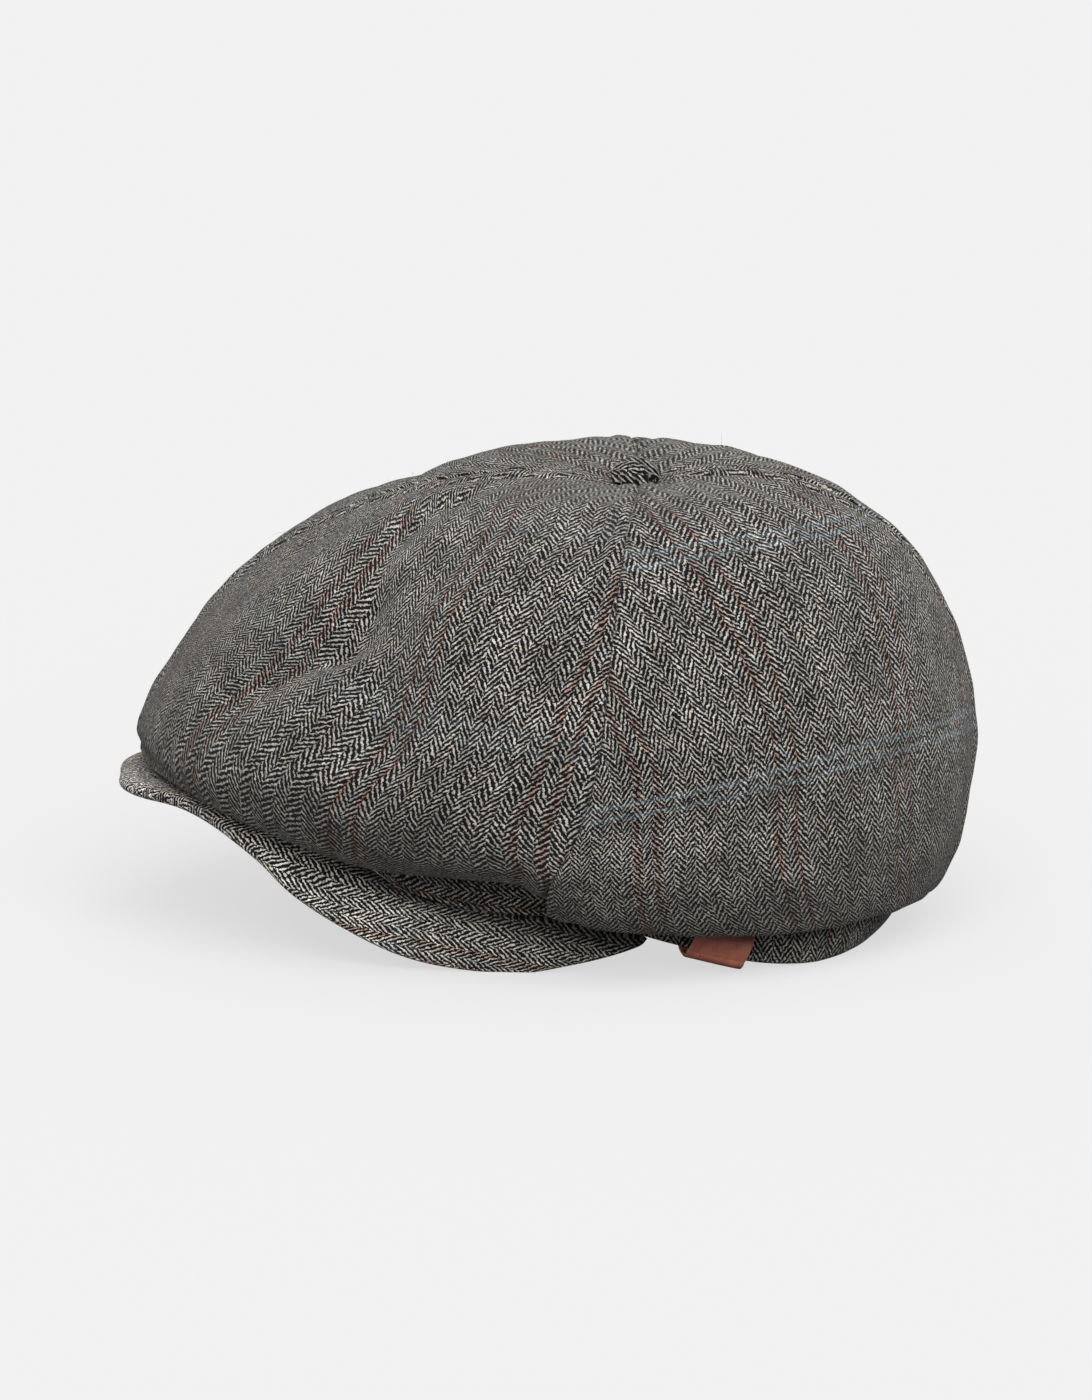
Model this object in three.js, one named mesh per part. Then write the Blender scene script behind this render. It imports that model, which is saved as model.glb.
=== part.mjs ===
import * as THREE from "three";

// A tweed flat cap standing on a table: a full, four-panel crown with a covered button on top, sewn to a
// band round the head opening, with a stiff arched peak in front and a leather tab folded round the band.
// Millimetres, +Z up. The peak points to -Y and the wearer's left is +X.
// The origin is on the table, under the middle of the cap.

// Crown
const crownFront = 165;
const crownRear = 113.3;
const crownHalfWidth = 123;
const crownHeight = 157;
const buttonSetback = 29.5;
const clothThickness = 2;
const foldDepth = 10;
const seamDip = 1.1;
const seamDipWidth = 4;
const panelGap = 0.3;
// The cloth from the button down to the seam, as a share of the crown's half width
const clothLengthShare = 1.9;
// Folds and seam dips begin below the button: none above foldStart, at their full depth from foldFull on
const foldStart = 0.05;
const foldFull = 0.15;

// Head opening and band, measured over the band's outer face
const openingLength = 211;
const openingWidth = 159;
const openingSetback = 13.5;
const ovalFullness = 0.092;
const rimRise = 51;
const bandHeight = 20;
const bandThickness = 2.6;
const sewnGap = 0.35;

// Peak
const peakReach = 50;
const peakTipHeight = 51.2;
const peakThickness = 4.4;
const peakEndAngle = 100;
const peakCamber = 2;
const peakSeat = 0.5;
const lobeRise = 0.25;
const steepTuck = 0.2;

// Button and leather tab
const buttonDiameter = 17;
const buttonThickness = 4.8;
const buttonFolds = 8;
const buttonGather = 0.07;
const tabWidth = 21;
const tabAngle = 112.5;
const tabThickness = 1.4;
const tabRise = 11;

const radian = Math.PI / 180;

/** A table from the names of its columns and its rows of values. */
function table(columns, rows) {
  return rows.map((row) => Object.fromEntries(columns.map((column, index) => [column, row[index]])));
}

// The crown's rings from the button down to its widest line. along is the share of the way down the cloth.
// The reaches are shares of crownFront, crownRear and crownHalfWidth, the heights shares of crownHeight.
const crownRings = table([
  "along", "reachFront", "heightFront", "reachRear", "heightRear", "reachSide", "heightSide", "taper",
], [
  [0, 0, 0.958, 0, 0.958, 0, 0.958, 0],
  [0.04, 0.052, 0.959, 0.075, 0.959, 0.069, 0.959, 0],
  [0.1, 0.13, 0.975, 0.18, 0.982, 0.17, 0.978, 0],
  [0.19, 0.25, 0.98, 0.322, 0.985, 0.333, 0.992, 0],
  [0.29, 0.408, 0.96, 0.48, 0.963, 0.52, 0.976, 0],
  [0.4, 0.573, 0.906, 0.64, 0.915, 0.7, 0.905, 0],
  [0.51, 0.724, 0.822, 0.784, 0.836, 0.84, 0.787, 0],
  [0.61, 0.845, 0.71, 0.892, 0.723, 0.935, 0.655, 0.01],
  [0.7, 0.937, 0.575, 0.968, 0.58, 0.988, 0.52, 0.02],
  [0.79, 0.997, 0.45, 1, 0.4, 1, 0.385, 0.03],
]);
const alongUnder = 0.87;
const alongFold = 0.93;

// The head opening by angle, from the front round to the back. rimHeight is a share of rimRise, band of
// bandHeight. foldReach and underReach are shares of the way from the band out to the crown's widest line,
// foldDrop a share of foldDepth below the seam, underRise a share of the way up from there to that line.
const openingRows = table([
  "angle", "rimHeight", "band", "foldReach", "foldDrop", "underReach", "underRise",
], [
  [0, 1, 0.5, 0.9, 0.2, 0.985, 0.4],
  [15, 0.986, 0.5, 0.87, 0.32, 0.975, 0.38],
  [30, 0.915, 0.5, 0.66, 0.6, 0.92, 0.32],
  [45, 0.735, 0.5, 0.42, 0.62, 0.8, 0.34],
  [60, 0.53, 0.5, 0.31, 0.12, 0.74, 0.36],
  [75, 0.48, 0.5, 0.28, -0.2, 0.73, 0.36],
  [84, 0.462, 0.52, 0.28, 0, 0.75, 0.38],
  [94, 0.352, 0.64, 0.27, 0.85, 0.76, 0.45],
  [105, 0.2, 0.8, 0.27, 1, 0.74, 0.46],
  [120, 0.055, 0.9, 0.29, 0.8, 0.75, 0.48],
  [135, 0, 0.95, 0.31, 0.65, 0.76, 0.46],
  [150, 0, 1, 0.33, 0.75, 0.78, 0.42],
  [165, 0, 1, 0.36, 0.95, 0.8, 0.4],
  [180, 0, 1, 0.37, 1.05, 0.8, 0.38],
]);

// Where the side seam lies, by angle round the crown, on its way down the cloth
const sideSeamRows = table(["along", "angle"], [
  [0, 94.5],
  [0.5, 94.5],
  [0.78, 93.5],
  [0.9, 87],
  [1, 84],
]);

// The peak's outer edge by angle round the opening. side is a share of half the opening's width, back a
// share of the way from the tip to the peak's ends, height a share of the tip's height.
const peakRows = table(["angle", "side", "back", "height"], [
  [0, 0, 0, 1],
  [10, 0.188, 0.002, 0.998],
  [20, 0.352, 0.036, 0.994],
  [30, 0.49, 0.108, 0.975],
  [40, 0.62, 0.185, 0.864],
  [50, 0.725, 0.26, 0.678],
  [58, 0.802, 0.328, 0.471],
  [66, 0.85, 0.42, 0.274],
  [74, 0.87, 0.523, 0.109],
  [82, 0.872, 0.634, 0.021],
  [88, 0.876, 0.745, 0],
  [93, 0.9, 0.84, 0.062],
  [97, 0.94, 0.915, 0.145],
  [101.5, 0.99, 1, 0.243],
]);

// Soft folds and hollows of the crown. Each runs from a start to an end, given by angle and along, and is
// width across. depth is how far it stands out, or sinks where it is negative.
const foldSize = 10;
const crownFolds = table(["name", "fromAngle", "fromAlong", "toAngle", "toAlong", "width", "depth"], [
  ["front left valley", 26, 0.3, 48, 0.56, 1.1, -0.42],
  ["front left bend", 48, 0.56, 33, 0.68, 1, -0.36],
  ["front left hollow", 50, 0.5, 60, 0.66, 1.5, -0.4],
  ["front left ridge", 66, 0.5, 71, 0.66, 1.4, 0.3],
  ["front left bulge", 30, 0.48, 18, 0.7, 2.2, 0.3],
  ["seam foot hollow", 86, 0.76, 84, 0.86, 0.9, -0.3],
  ["rear left soft line", 100, 0.8, 150, 0.77, 0.9, -0.2],
  ["front right valley", -30, 0.34, -52, 0.6, 1.3, -0.36],
  ["rear right soft line", -104, 0.8, -146, 0.76, 1, -0.22],
]);

/** Value of one column of a table at a place, on a smooth curve through its rows. */
function follow(rows, key, column, place) {
  const last = rows.length - 1;
  let low = 0;
  while (low < last - 1 && rows[low + 1][key] <= place) {
    low += 1;
  }
  const slope = (index) => {
    const before = rows[Math.max(index - 1, 0)];
    const after = rows[Math.min(index + 1, last)];
    return (after[column] - before[column]) / (after[key] - before[key]);
  };
  const span = rows[low + 1][key] - rows[low][key];
  const share = (place - rows[low][key]) / span;
  const square = share * share;
  const cube = square * share;
  const start = (2 * cube - 3 * square + 1) * rows[low][column];
  const startSlope = (cube - 2 * square + share) * span * slope(low);
  const end = (3 * square - 2 * cube) * rows[low + 1][column];
  const endSlope = (cube - square) * span * slope(low + 1);
  return start + startSlope + end + endSlope;
}

/** A table by angle with one row more at each end, as its mirror image past the front and the back. */
function mirrored(rows) {
  const before = { ...rows[1], angle: -rows[1].angle };
  const beyond = rows[rows.length - 2];
  return [before, ...rows, { ...beyond, angle: 360 - beyond.angle }];
}

const openingTable = mirrored(openingRows);

/** Angle brought into the range from -180 to 180. */
function wrapped(angle) {
  return angle - 360 * Math.round(angle / 360);
}

/** Point of an oval at an angle, counted from the front towards the wearer's left. */
function ovalPoint(angle, centreY, halfLength, halfWidth, fullness, taper) {
  const ahead = Math.cos(angle * radian);
  const aside = Math.sin(angle * radian);
  const x = halfWidth * aside * (1 + fullness * ahead * ahead) * (1 - taper * ahead);
  const y = centreY - halfLength * ahead * (1 + fullness * aside * aside);
  return new THREE.Vector2(x, y);
}

// Small steps round and down a surface, between which its slopes are measured
const turnStep = 0.5;
const downStep = 0.004;

/** Point of the head opening's oval, moved out by a distance along its normal. */
function openingPoint(angle, outward) {
  const oval = (a) => ovalPoint(a, openingSetback, openingLength / 2, openingWidth / 2, ovalFullness, 0);
  const tangent = oval(angle + turnStep).sub(oval(angle - turnStep)).normalize();
  const normal = new THREE.Vector2(tangent.y, -tangent.x);
  return oval(angle).addScaledVector(normal, outward);
}

/** Value of one column of the opening's table at an angle, alike on both sides. */
function openingValue(column, angle) {
  return follow(openingTable, "angle", column, Math.abs(wrapped(angle)));
}

function rimHeightAt(angle) {
  return Math.max(rimRise * openingValue("rimHeight", angle), 0);
}

function seamHeightAt(angle) {
  return rimHeightAt(angle) + bandHeight * openingValue("band", angle);
}

/** Point of one of the crown's rings. Its height swings smoothly between front, side and back. */
function ringPoint(ring, angle) {
  const front = buttonSetback - crownFront * ring.reachFront;
  const rear = buttonSetback + crownRear * ring.reachRear;
  const halfWidth = crownHalfWidth * ring.reachSide;
  const flat = ovalPoint(angle, (front + rear) / 2, (rear - front) / 2, halfWidth, 0, ring.taper);
  const ends = (ring.heightFront + ring.heightRear) / 2;
  const tilt = (ring.heightFront - ring.heightRear) / 2;
  const mean = (ends + ring.heightSide) / 2;
  const sway = (ends - ring.heightSide) / 2;
  const height = mean + tilt * Math.cos(angle * radian) + sway * Math.cos(2 * angle * radian);
  return new THREE.Vector3(flat.x, flat.y, crownHeight * height);
}

/** The places that the crown's cloth passes at one angle, from the button to the seam on the band. */
function crownStations(angle) {
  const at = (column) => openingValue(column, angle);
  const stations = crownRings.map((ring) => ({ along: ring.along, point: ringPoint(ring, angle) }));
  const widest = stations[stations.length - 1].point;
  const edge = openingPoint(angle, sewnGap);
  const seamHeight = seamHeightAt(angle);
  const foldHeight = seamHeight - foldDepth * at("foldDrop");
  const between = (reach, height) => {
    const x = edge.x + (widest.x - edge.x) * reach;
    const y = edge.y + (widest.y - edge.y) * reach;
    return new THREE.Vector3(x, y, height);
  };
  const underHeight = foldHeight + (widest.z - foldHeight) * at("underRise");
  stations.push({ along: alongUnder, point: between(at("underReach"), underHeight) });
  stations.push({ along: alongFold, point: between(at("foldReach"), foldHeight) });
  stations.push({ along: 1, point: new THREE.Vector3(edge.x, edge.y, seamHeight) });
  return stations;
}

/** Point of the smooth crown, before its folds and seams. */
function smoothCrown(angle, along) {
  const rows = crownStations(angle).map(({ along: key, point }) => {
    const { x, y, z } = point;
    return { key, x, y, z };
  });
  const at = (column) => follow(rows, "key", column, along);
  return new THREE.Vector3(at("x"), at("y"), at("z"));
}

/** Outward normal of a surface given as a function of angle and along. */
function surfaceNormal(surface, angle, along) {
  const low = Math.max(along - downStep, downStep);
  const high = Math.min(along + downStep, 1);
  const round = surface(angle + turnStep, along).sub(surface(angle - turnStep, along));
  const slope = surface(angle, high).sub(surface(angle, low));
  return slope.cross(round).normalize();
}

/** Height of all folds of the crown at a place: a rounded ridge or hollow along each fold's line. */
function foldHeight(angle, along) {
  const clothLength = clothLengthShare * crownHalfWidth;
  const acrossLength = crownHalfWidth * radian;
  let height = 0;
  for (const fold of crownFolds) {
    const lineX = (fold.toAngle - fold.fromAngle) * acrossLength;
    const lineY = (fold.toAlong - fold.fromAlong) * clothLength;
    const x = wrapped(angle - fold.fromAngle) * acrossLength;
    const y = (along - fold.fromAlong) * clothLength;
    const share = (x * lineX + y * lineY) / (lineX * lineX + lineY * lineY);
    const held = Math.min(Math.max(share, 0), 1);
    const away = Math.hypot(x - held * lineX, y - held * lineY) / (fold.width * foldSize);
    height += fold.depth * foldSize * Math.exp(-away * away);
  }
  return height;
}

/** Angles of the four seams at a place down the crown: front, left, back and right. */
function seamAngles(along) {
  const side = follow(sideSeamRows, "along", "angle", along);
  return [0, side, 180, 360 - side];
}

/** Dip of the cloth beside the nearest seam. */
function seamValley(angle, along) {
  const ring = smoothCrown(angle, along);
  const radius = Math.hypot(ring.x, ring.y - buttonSetback);
  const nearest = Math.min(...seamAngles(along).map((seam) => Math.abs(wrapped(angle - seam))));
  const away = (nearest * radian * radius) / seamDipWidth;
  return -seamDip * Math.exp(-away * away);
}

/** Point of the crown's outer face. */
function crownSurface(angle, along) {
  const fade = Math.min(Math.max((along - foldStart) / (foldFull - foldStart), 0), 1);
  const lift = (foldHeight(angle, along) + seamValley(angle, along)) * fade;
  return smoothCrown(angle, along).addScaledVector(surfaceNormal(smoothCrown, angle, along), lift);
}

/**
 * Closed wall between an outer and an inner grid of points, both given as rows of columns.
 * Where ring is true, the last column meets the first.
 */
function wallGeometry(outer, inner, ring) {
  const rows = outer.length;
  const columns = outer[0].length;
  const points = [...outer.flat(), ...inner.flat()];
  const place = (side, row, column) => side * rows * columns + row * columns + (column % columns);
  const faces = [];
  const quad = (a, b, c, d) => faces.push(a, b, c, a, c, d);
  const steps = ring ? columns : columns - 1;
  for (let column = 0; column < steps; column += 1) {
    const next = column + 1;
    for (let row = 0; row < rows - 1; row += 1) {
      quad(place(0, row, column), place(0, row + 1, column), place(0, row + 1, next), place(0, row, next));
      quad(place(1, row, column), place(1, row, next), place(1, row + 1, next), place(1, row + 1, column));
    }
    quad(place(0, 0, column), place(0, 0, next), place(1, 0, next), place(1, 0, column));
    const end = rows - 1;
    quad(place(0, end, column), place(1, end, column), place(1, end, next), place(0, end, next));
  }
  if (!ring) {
    const end = columns - 1;
    for (let row = 0; row < rows - 1; row += 1) {
      quad(place(0, row, 0), place(1, row, 0), place(1, row + 1, 0), place(0, row + 1, 0));
      quad(place(0, row, end), place(0, row + 1, end), place(1, row + 1, end), place(1, row, end));
    }
  }
  const geometry = new THREE.BufferGeometry();
  const numbers = points.flatMap((point) => [point.x, point.y, point.z]);
  geometry.setAttribute("position", new THREE.Float32BufferAttribute(numbers, 3));
  geometry.setIndex(faces);
  geometry.computeVertexNormals();
  return geometry;
}

/** Even steps from 0 to 1. */
function shares(count) {
  return Array.from({ length: count + 1 }, (_, index) => index / count);
}

// Rows down a crown panel, closer together where the cloth turns under
const panelStart = 0.032;
const panelRows = [
  panelStart, 0.07, 0.11, 0.16, 0.22, 0.3, 0.38, 0.46, 0.54, 0.61,
  0.68, 0.74, 0.79, 0.83, 0.865, 0.895, 0.92, 0.945, 0.97, 1,
];
const panelColumns = 17;

/** One panel of the crown, between two of its seams. */
function crownPanel(firstSeam, secondSeam) {
  const outer = [];
  const inner = [];
  for (const along of panelRows) {
    const seams = [...seamAngles(along), 360];
    const ring = smoothCrown(seams[firstSeam], along);
    const radius = Math.hypot(ring.x, ring.y - buttonSetback);
    const trim = panelGap / 2 / radius / radian;
    const from = seams[firstSeam] + trim;
    const to = seams[secondSeam] - trim;
    const angles = shares(panelColumns).map((share) => from + (to - from) * share);
    const face = angles.map((angle) => crownSurface(angle, along));
    outer.push(face);
    inner.push(face.map((point, index) => {
      const normal = surfaceNormal(smoothCrown, angles[index], along);
      return point.clone().addScaledVector(normal, -clothThickness);
    }));
  }
  return wallGeometry(outer, inner, false);
}

const openingStep = 5;
const bandRows = 3;

/** The band: an upright strip round the head opening, from the rim up to the crown's seam. */
function band() {
  const angles = shares(360 / openingStep).slice(0, -1).map((share) => share * 360);
  const face = (outward) => shares(bandRows).map((share) => angles.map((angle) => {
    const flat = openingPoint(angle, outward);
    const top = seamHeightAt(angle);
    return new THREE.Vector3(flat.x, flat.y, top + (rimHeightAt(angle) - top) * share);
  }));
  return wallGeometry(face(0), face(-bandThickness), true);
}

// The peak's table with one row more before the front, the mirror image of the row behind it
const peakMirror = { ...peakRows[1], angle: -peakRows[1].angle, side: -peakRows[1].side };
const peakTable = [peakMirror, ...peakRows];

/** Point of the peak's outer edge, half way through its thickness and no lower than lobeRise. */
function peakOuterEdge(angle) {
  const at = (column) => follow(peakTable, "angle", column, Math.abs(angle));
  const tip = openingSetback - openingLength / 2 - peakReach;
  const end = openingPoint(peakRows[peakRows.length - 1].angle, 0).y;
  const x = Math.sign(angle) * at("side") * (openingWidth / 2);
  const height = Math.max(peakTipHeight * at("height"), lobeRise);
  return new THREE.Vector3(x, tip + (end - tip) * at("back"), height);
}

/** Point of the peak's inner edge under the band, before room is made for its thickness. */
function peakInnerEdge(angle, outward) {
  const flat = openingPoint(angle, outward);
  return new THREE.Vector3(flat.x, flat.y, rimHeightAt(angle));
}

/** Normal of the peak near its inner edge. */
function peakNormal(angle) {
  const along = peakInnerEdge(angle + turnStep, 0).sub(peakInnerEdge(angle - turnStep, 0));
  const across = peakOuterEdge(angle).sub(peakInnerEdge(angle, 0));
  return along.cross(across).negate().normalize();
}

const tabColumns = 6;
const peakSteps = (2 * peakEndAngle) / openingStep;
const peakProfile = table(["across", "thickness"], [
  [0, 1],
  [0.25, 1],
  [0.5, 1],
  [0.75, 1],
  [0.93, 0.95],
  [0.985, 0.7],
  [1, 0.35],
]);

/** Camber across the peak: none at both edges, one at two thirds of the way out, level at the inner edge. */
function camberAt(across) {
  const highest = 4 / 27;
  return (across * across * (1 - across)) / highest;
}

/**
 * The peak: a cambered, arched sheet from under the band out to its rolled edge. Its inner edge lies under
 * the band's whole thickness where it is level, and under its outer face where it hangs steeply.
 */
function peak() {
  const angles = shares(peakSteps).map((share) => peakEndAngle * (2 * share - 1));
  const top = [];
  const bottom = [];
  for (const { across, thickness } of peakProfile) {
    const topRow = [];
    const bottomRow = [];
    for (const angle of angles) {
      const normal = peakNormal(angle);
      const half = peakThickness / 2;
      const level = Math.abs(normal.z);
      const tuck = steepTuck + (1 - steepTuck) * level * level;
      const inner = peakInnerEdge(angle, -bandThickness * tuck);
      inner.z -= peakSeat + half * level;
      const middle = inner.clone().lerp(peakOuterEdge(angle), across);
      middle.addScaledVector(normal, peakCamber * camberAt(across) * level);
      topRow.push(middle.clone().addScaledVector(normal, half * thickness));
      bottomRow.push(middle.clone().addScaledVector(normal, -half * thickness));
    }
    top.push(topRow);
    bottom.push(bottomRow);
  }
  return wallGeometry(top, bottom, false);
}

// The button from the middle of its underside round to the middle of its top. out is a share of its radius,
// up of its thickness, and gather says how much of the gathers shows there.
const buttonProfile = table(["out", "up", "gather"], [
  [0, 0, 0],
  [0.84, 0, 0.5],
  [1, 0.22, 1],
  [0.99, 0.5, 1],
  [0.84, 0.8, 0.7],
  [0.5, 0.97, 0.2],
  [0, 1, 0],
]);
const stepsPerGather = 3;

/** The covered button: a low dome, lightly gathered round its side, in the hollow on top of the crown. */
function topButton() {
  const radius = buttonDiameter / 2;
  const points = buttonProfile.map(({ out, up }) => new THREE.Vector2(radius * out, buttonThickness * up));
  const geometry = new THREE.LatheGeometry(points, buttonFolds * stepsPerGather);
  geometry.rotateX(Math.PI / 2);
  const position = geometry.attributes.position;
  for (let index = 0; index < position.count; index += 1) {
    const { gather } = buttonProfile[index % buttonProfile.length];
    const turn = Math.atan2(position.getY(index), position.getX(index));
    const pull = 1 - (buttonGather * gather * (1 + Math.cos(buttonFolds * turn))) / 2;
    position.setX(index, position.getX(index) * pull);
    position.setY(index, position.getY(index) * pull);
  }
  geometry.computeVertexNormals();
  return geometry;
}

// The tab's way round the band's lower edge. outside and inside are shares of its distances from the band's
// outer face, up is a share of its rise, down a share of its distance below the band.
const tabPath = table(["outside", "inside", "up", "down"], [
  [1, 0, 1, 0],
  [1, 0, 0.5, 0],
  [1, 0, 0, 0.3],
  [0.5, 0.1, 0, 1],
  [0.1, 0.5, 0, 1],
  [0, 1, 0, 0.3],
  [0, 1, 0.5, 0],
  [0, 1, 1, 0],
]);

/** The leather tab: a strip folded round the band's lower edge, up its outer and inner faces. */
function leatherTab() {
  const halfAngle = tabWidth / openingLength / radian;
  const angles = shares(tabColumns).map((share) => tabAngle + halfAngle * (2 * share - 1));
  const grid = (room) => tabPath.map(({ outside, inside, up, down }) => angles.map((angle) => {
    const space = sewnGap + room;
    const flat = openingPoint(angle, space * outside - (bandThickness + space) * inside);
    return new THREE.Vector3(flat.x, flat.y, rimHeightAt(angle) + tabRise * up - space * down);
  }));
  return wallGeometry(grid(tabThickness), grid(0), false);
}

const tweed = { color: 0x6f6b65, roughness: 0.95, metalness: 0 };
const leather = { color: 0x7a4436, roughness: 0.55, metalness: 0 };

function piece(name, geometry, finish) {
  const mesh = new THREE.Mesh(geometry, new THREE.MeshStandardMaterial(finish));
  mesh.name = name;
  return mesh;
}

const cap = new THREE.Group();
cap.add(piece("crown_panel_front_left", crownPanel(0, 1), tweed));
cap.add(piece("crown_panel_rear_left", crownPanel(1, 2), tweed));
cap.add(piece("crown_panel_rear_right", crownPanel(2, 3), tweed));
cap.add(piece("crown_panel_front_right", crownPanel(3, 4), tweed));
cap.add(piece("band", band(), tweed));
cap.add(piece("peak", peak(), tweed));

const coveredButton = piece("top_button", topButton(), tweed);
const buttonSeat = crownHeight * crownRings[1].heightFront + sewnGap;
coveredButton.position.set(0, buttonSetback, buttonSeat);
cap.add(coveredButton);

cap.add(piece("leather_tab", leatherTab(), leather));

export default cap;
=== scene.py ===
"""A herringbone tweed flat cap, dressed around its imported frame.

Every piece is a surface worked out from a formula on a grid of two numbers, in the cap's own sizes and
tables. Lengths are millimetres until a mesh is made. The peak points to -Y and the wearer's left is +X, and
the cap stands on the plane Z = 0.
"""

import bpy
import numpy as np
from bpy.props import FloatProperty, FloatVectorProperty, IntProperty, PointerProperty
from bpy.types import Operator, Panel, PropertyGroup
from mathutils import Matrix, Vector


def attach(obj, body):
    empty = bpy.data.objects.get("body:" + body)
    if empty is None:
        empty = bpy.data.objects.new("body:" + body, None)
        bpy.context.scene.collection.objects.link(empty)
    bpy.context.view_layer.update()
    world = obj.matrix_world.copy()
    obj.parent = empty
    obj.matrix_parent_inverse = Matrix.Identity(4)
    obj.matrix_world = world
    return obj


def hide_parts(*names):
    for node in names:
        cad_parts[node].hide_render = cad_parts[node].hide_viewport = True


bl_info = {
    "name": "Tweed flat cap",
    "version": (1, 0, 0),
    "blender": (4, 5, 0),
    "location": "3D View > Sidebar > Cap",
    "description": "Builds the cloth, button, tab and stage of a tweed flat cap",
    "category": "Add Mesh",
}

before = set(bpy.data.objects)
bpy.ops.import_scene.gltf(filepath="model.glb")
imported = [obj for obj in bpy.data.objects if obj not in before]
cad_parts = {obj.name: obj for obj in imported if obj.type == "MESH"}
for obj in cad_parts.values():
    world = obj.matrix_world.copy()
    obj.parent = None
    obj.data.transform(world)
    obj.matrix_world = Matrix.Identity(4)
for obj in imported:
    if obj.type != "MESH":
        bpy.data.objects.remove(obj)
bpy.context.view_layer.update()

MILLIMETRE = 0.001
BODY = "root"

# Crown
CROWN_FRONT = 165
CROWN_REAR = 113.3
CROWN_HALF_WIDTH = 123
CROWN_HEIGHT = 157
BUTTON_SETBACK = 29.5
CLOTH_THICKNESS = 2
FOLD_DEPTH = 10
PANEL_GAP = 0.12
PANEL_START = 0.032
ALONG_UNDER = 0.87
ALONG_FOLD = 0.93
CLOTH_LENGTH_SHARE = 1.9
FOLD_START = 0.05
SEAM_FULL = 0.08
FOLD_FULL = 0.15
FOLD_SIZE = 10

# Head opening and band
OPENING_LENGTH = 211
OPENING_WIDTH = 159
OPENING_SETBACK = 13.5
OVAL_FULLNESS = 0.092
RIM_RISE = 51
BAND_HEIGHT = 20
BAND_THICKNESS = 2.6
SEWN_GAP = 0.35
REAR_LEAN = 9

# Peak
PEAK_REACH = 50
PEAK_TIP_HEIGHT = 51.2
PEAK_THICKNESS = 4.4
PEAK_END_ANGLE = 100
PEAK_CAMBER = 2
LOBE_RISE = 0.25
FLOOR_CLEARANCE = 0.03
STEEP_TUCK = 0.2

# Button and tab
BUTTON_DIAMETER = 17
BUTTON_THICKNESS = 4.8
BUTTON_FOLDS = 8
TAB_WIDTH = 21
TAB_ANGLE = 112.5
TAB_THICKNESS = 1.4
TAB_RISE = 11


def table(columns, rows):
    """A table as a dict of columns, from the names of its columns and its rows of values."""
    return {name: np.array(values) for name, values in zip(columns.split(), zip(*rows))}


# The crown's rings from the button down to its widest line, as shares of the crown's sizes
CROWN_RINGS = table(
    "along reach_front height_front reach_rear height_rear reach_side height_side taper",
    [
        (0, 0, 0.958, 0, 0.958, 0, 0.958, 0),
        (0.04, 0.052, 0.959, 0.075, 0.959, 0.069, 0.959, 0),
        (0.1, 0.13, 0.975, 0.18, 0.982, 0.17, 0.978, 0),
        (0.19, 0.25, 0.98, 0.322, 0.985, 0.333, 0.992, 0),
        (0.29, 0.408, 0.96, 0.48, 0.963, 0.52, 0.976, 0),
        (0.4, 0.573, 0.906, 0.64, 0.915, 0.7, 0.905, 0),
        (0.51, 0.724, 0.822, 0.784, 0.836, 0.84, 0.787, 0),
        (0.61, 0.845, 0.71, 0.892, 0.723, 0.935, 0.655, 0.01),
        (0.7, 0.937, 0.575, 0.968, 0.58, 0.988, 0.52, 0.02),
        (0.79, 0.997, 0.45, 1, 0.4, 1, 0.385, 0.03),
    ],
)

# The head opening by angle, from the front round to the back
OPENING_ROWS = table(
    "angle rim_height band",
    [
        (-15, 0.986, 0.5),
        (0, 1, 0.5),
        (15, 0.986, 0.5),
        (30, 0.915, 0.5),
        (45, 0.735, 0.5),
        (60, 0.5, 0.57),
        (75, 0.415, 0.66),
        (84, 0.395, 0.69),
        (94, 0.325, 0.71),
        (105, 0.2, 0.8),
        (120, 0.055, 0.9),
        (135, 0, 0.95),
        (150, 0, 1),
        (165, 0, 1),
        (180, 0, 1),
        (195, 0, 1),
    ],
)

# How the panels turn under to the band: reaches are shares of the way out to the crown's widest line, the
# drop a share of FOLD_DEPTH below the seam, and the rise a share of the way back up to the widest line
FRONT_HEM = table(
    "angle fold_reach fold_drop under_reach under_rise",
    [
        (-15, 0.87, 0.32, 0.975, 0.38),
        (0, 0.9, 0.2, 0.985, 0.4),
        (15, 0.87, 0.32, 0.975, 0.38),
        (30, 0.66, 0.6, 0.92, 0.32),
        (45, 0.42, 0.62, 0.8, 0.34),
        (60, 0.31, 0.12, 0.74, 0.36),
        (75, 0.34, -0.1, 0.79, 0.33),
        (84, 0.4, 0.15, 0.87, 0.32),
        (94, 0.46, 0.85, 0.9, 0.42),
        (105, 0.48, 0.85, 0.91, 0.42),
    ],
)
REAR_HEM = table(
    "angle fold_reach fold_drop under_reach under_rise",
    [
        (75, 0.42, 0.6, 0.85, 0.48),
        (84, 0.45, 0.75, 0.88, 0.46),
        (94, 0.5, 0.95, 0.91, 0.43),
        (105, 0.5, 0.75, 0.91, 0.42),
        (120, 0.46, 0.45, 0.88, 0.43),
        (135, 0.41, 0.36, 0.84, 0.44),
        (150, 0.36, 0.44, 0.8, 0.42),
        (165, 0.36, 0.62, 0.8, 0.4),
        (180, 0.37, 0.7, 0.8, 0.38),
        (195, 0.36, 0.62, 0.8, 0.4),
    ],
)

SIDE_SEAM = table("along angle", [(0, 94.5), (0.5, 94.5), (0.78, 93.5), (0.9, 87), (1, 84)])

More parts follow.
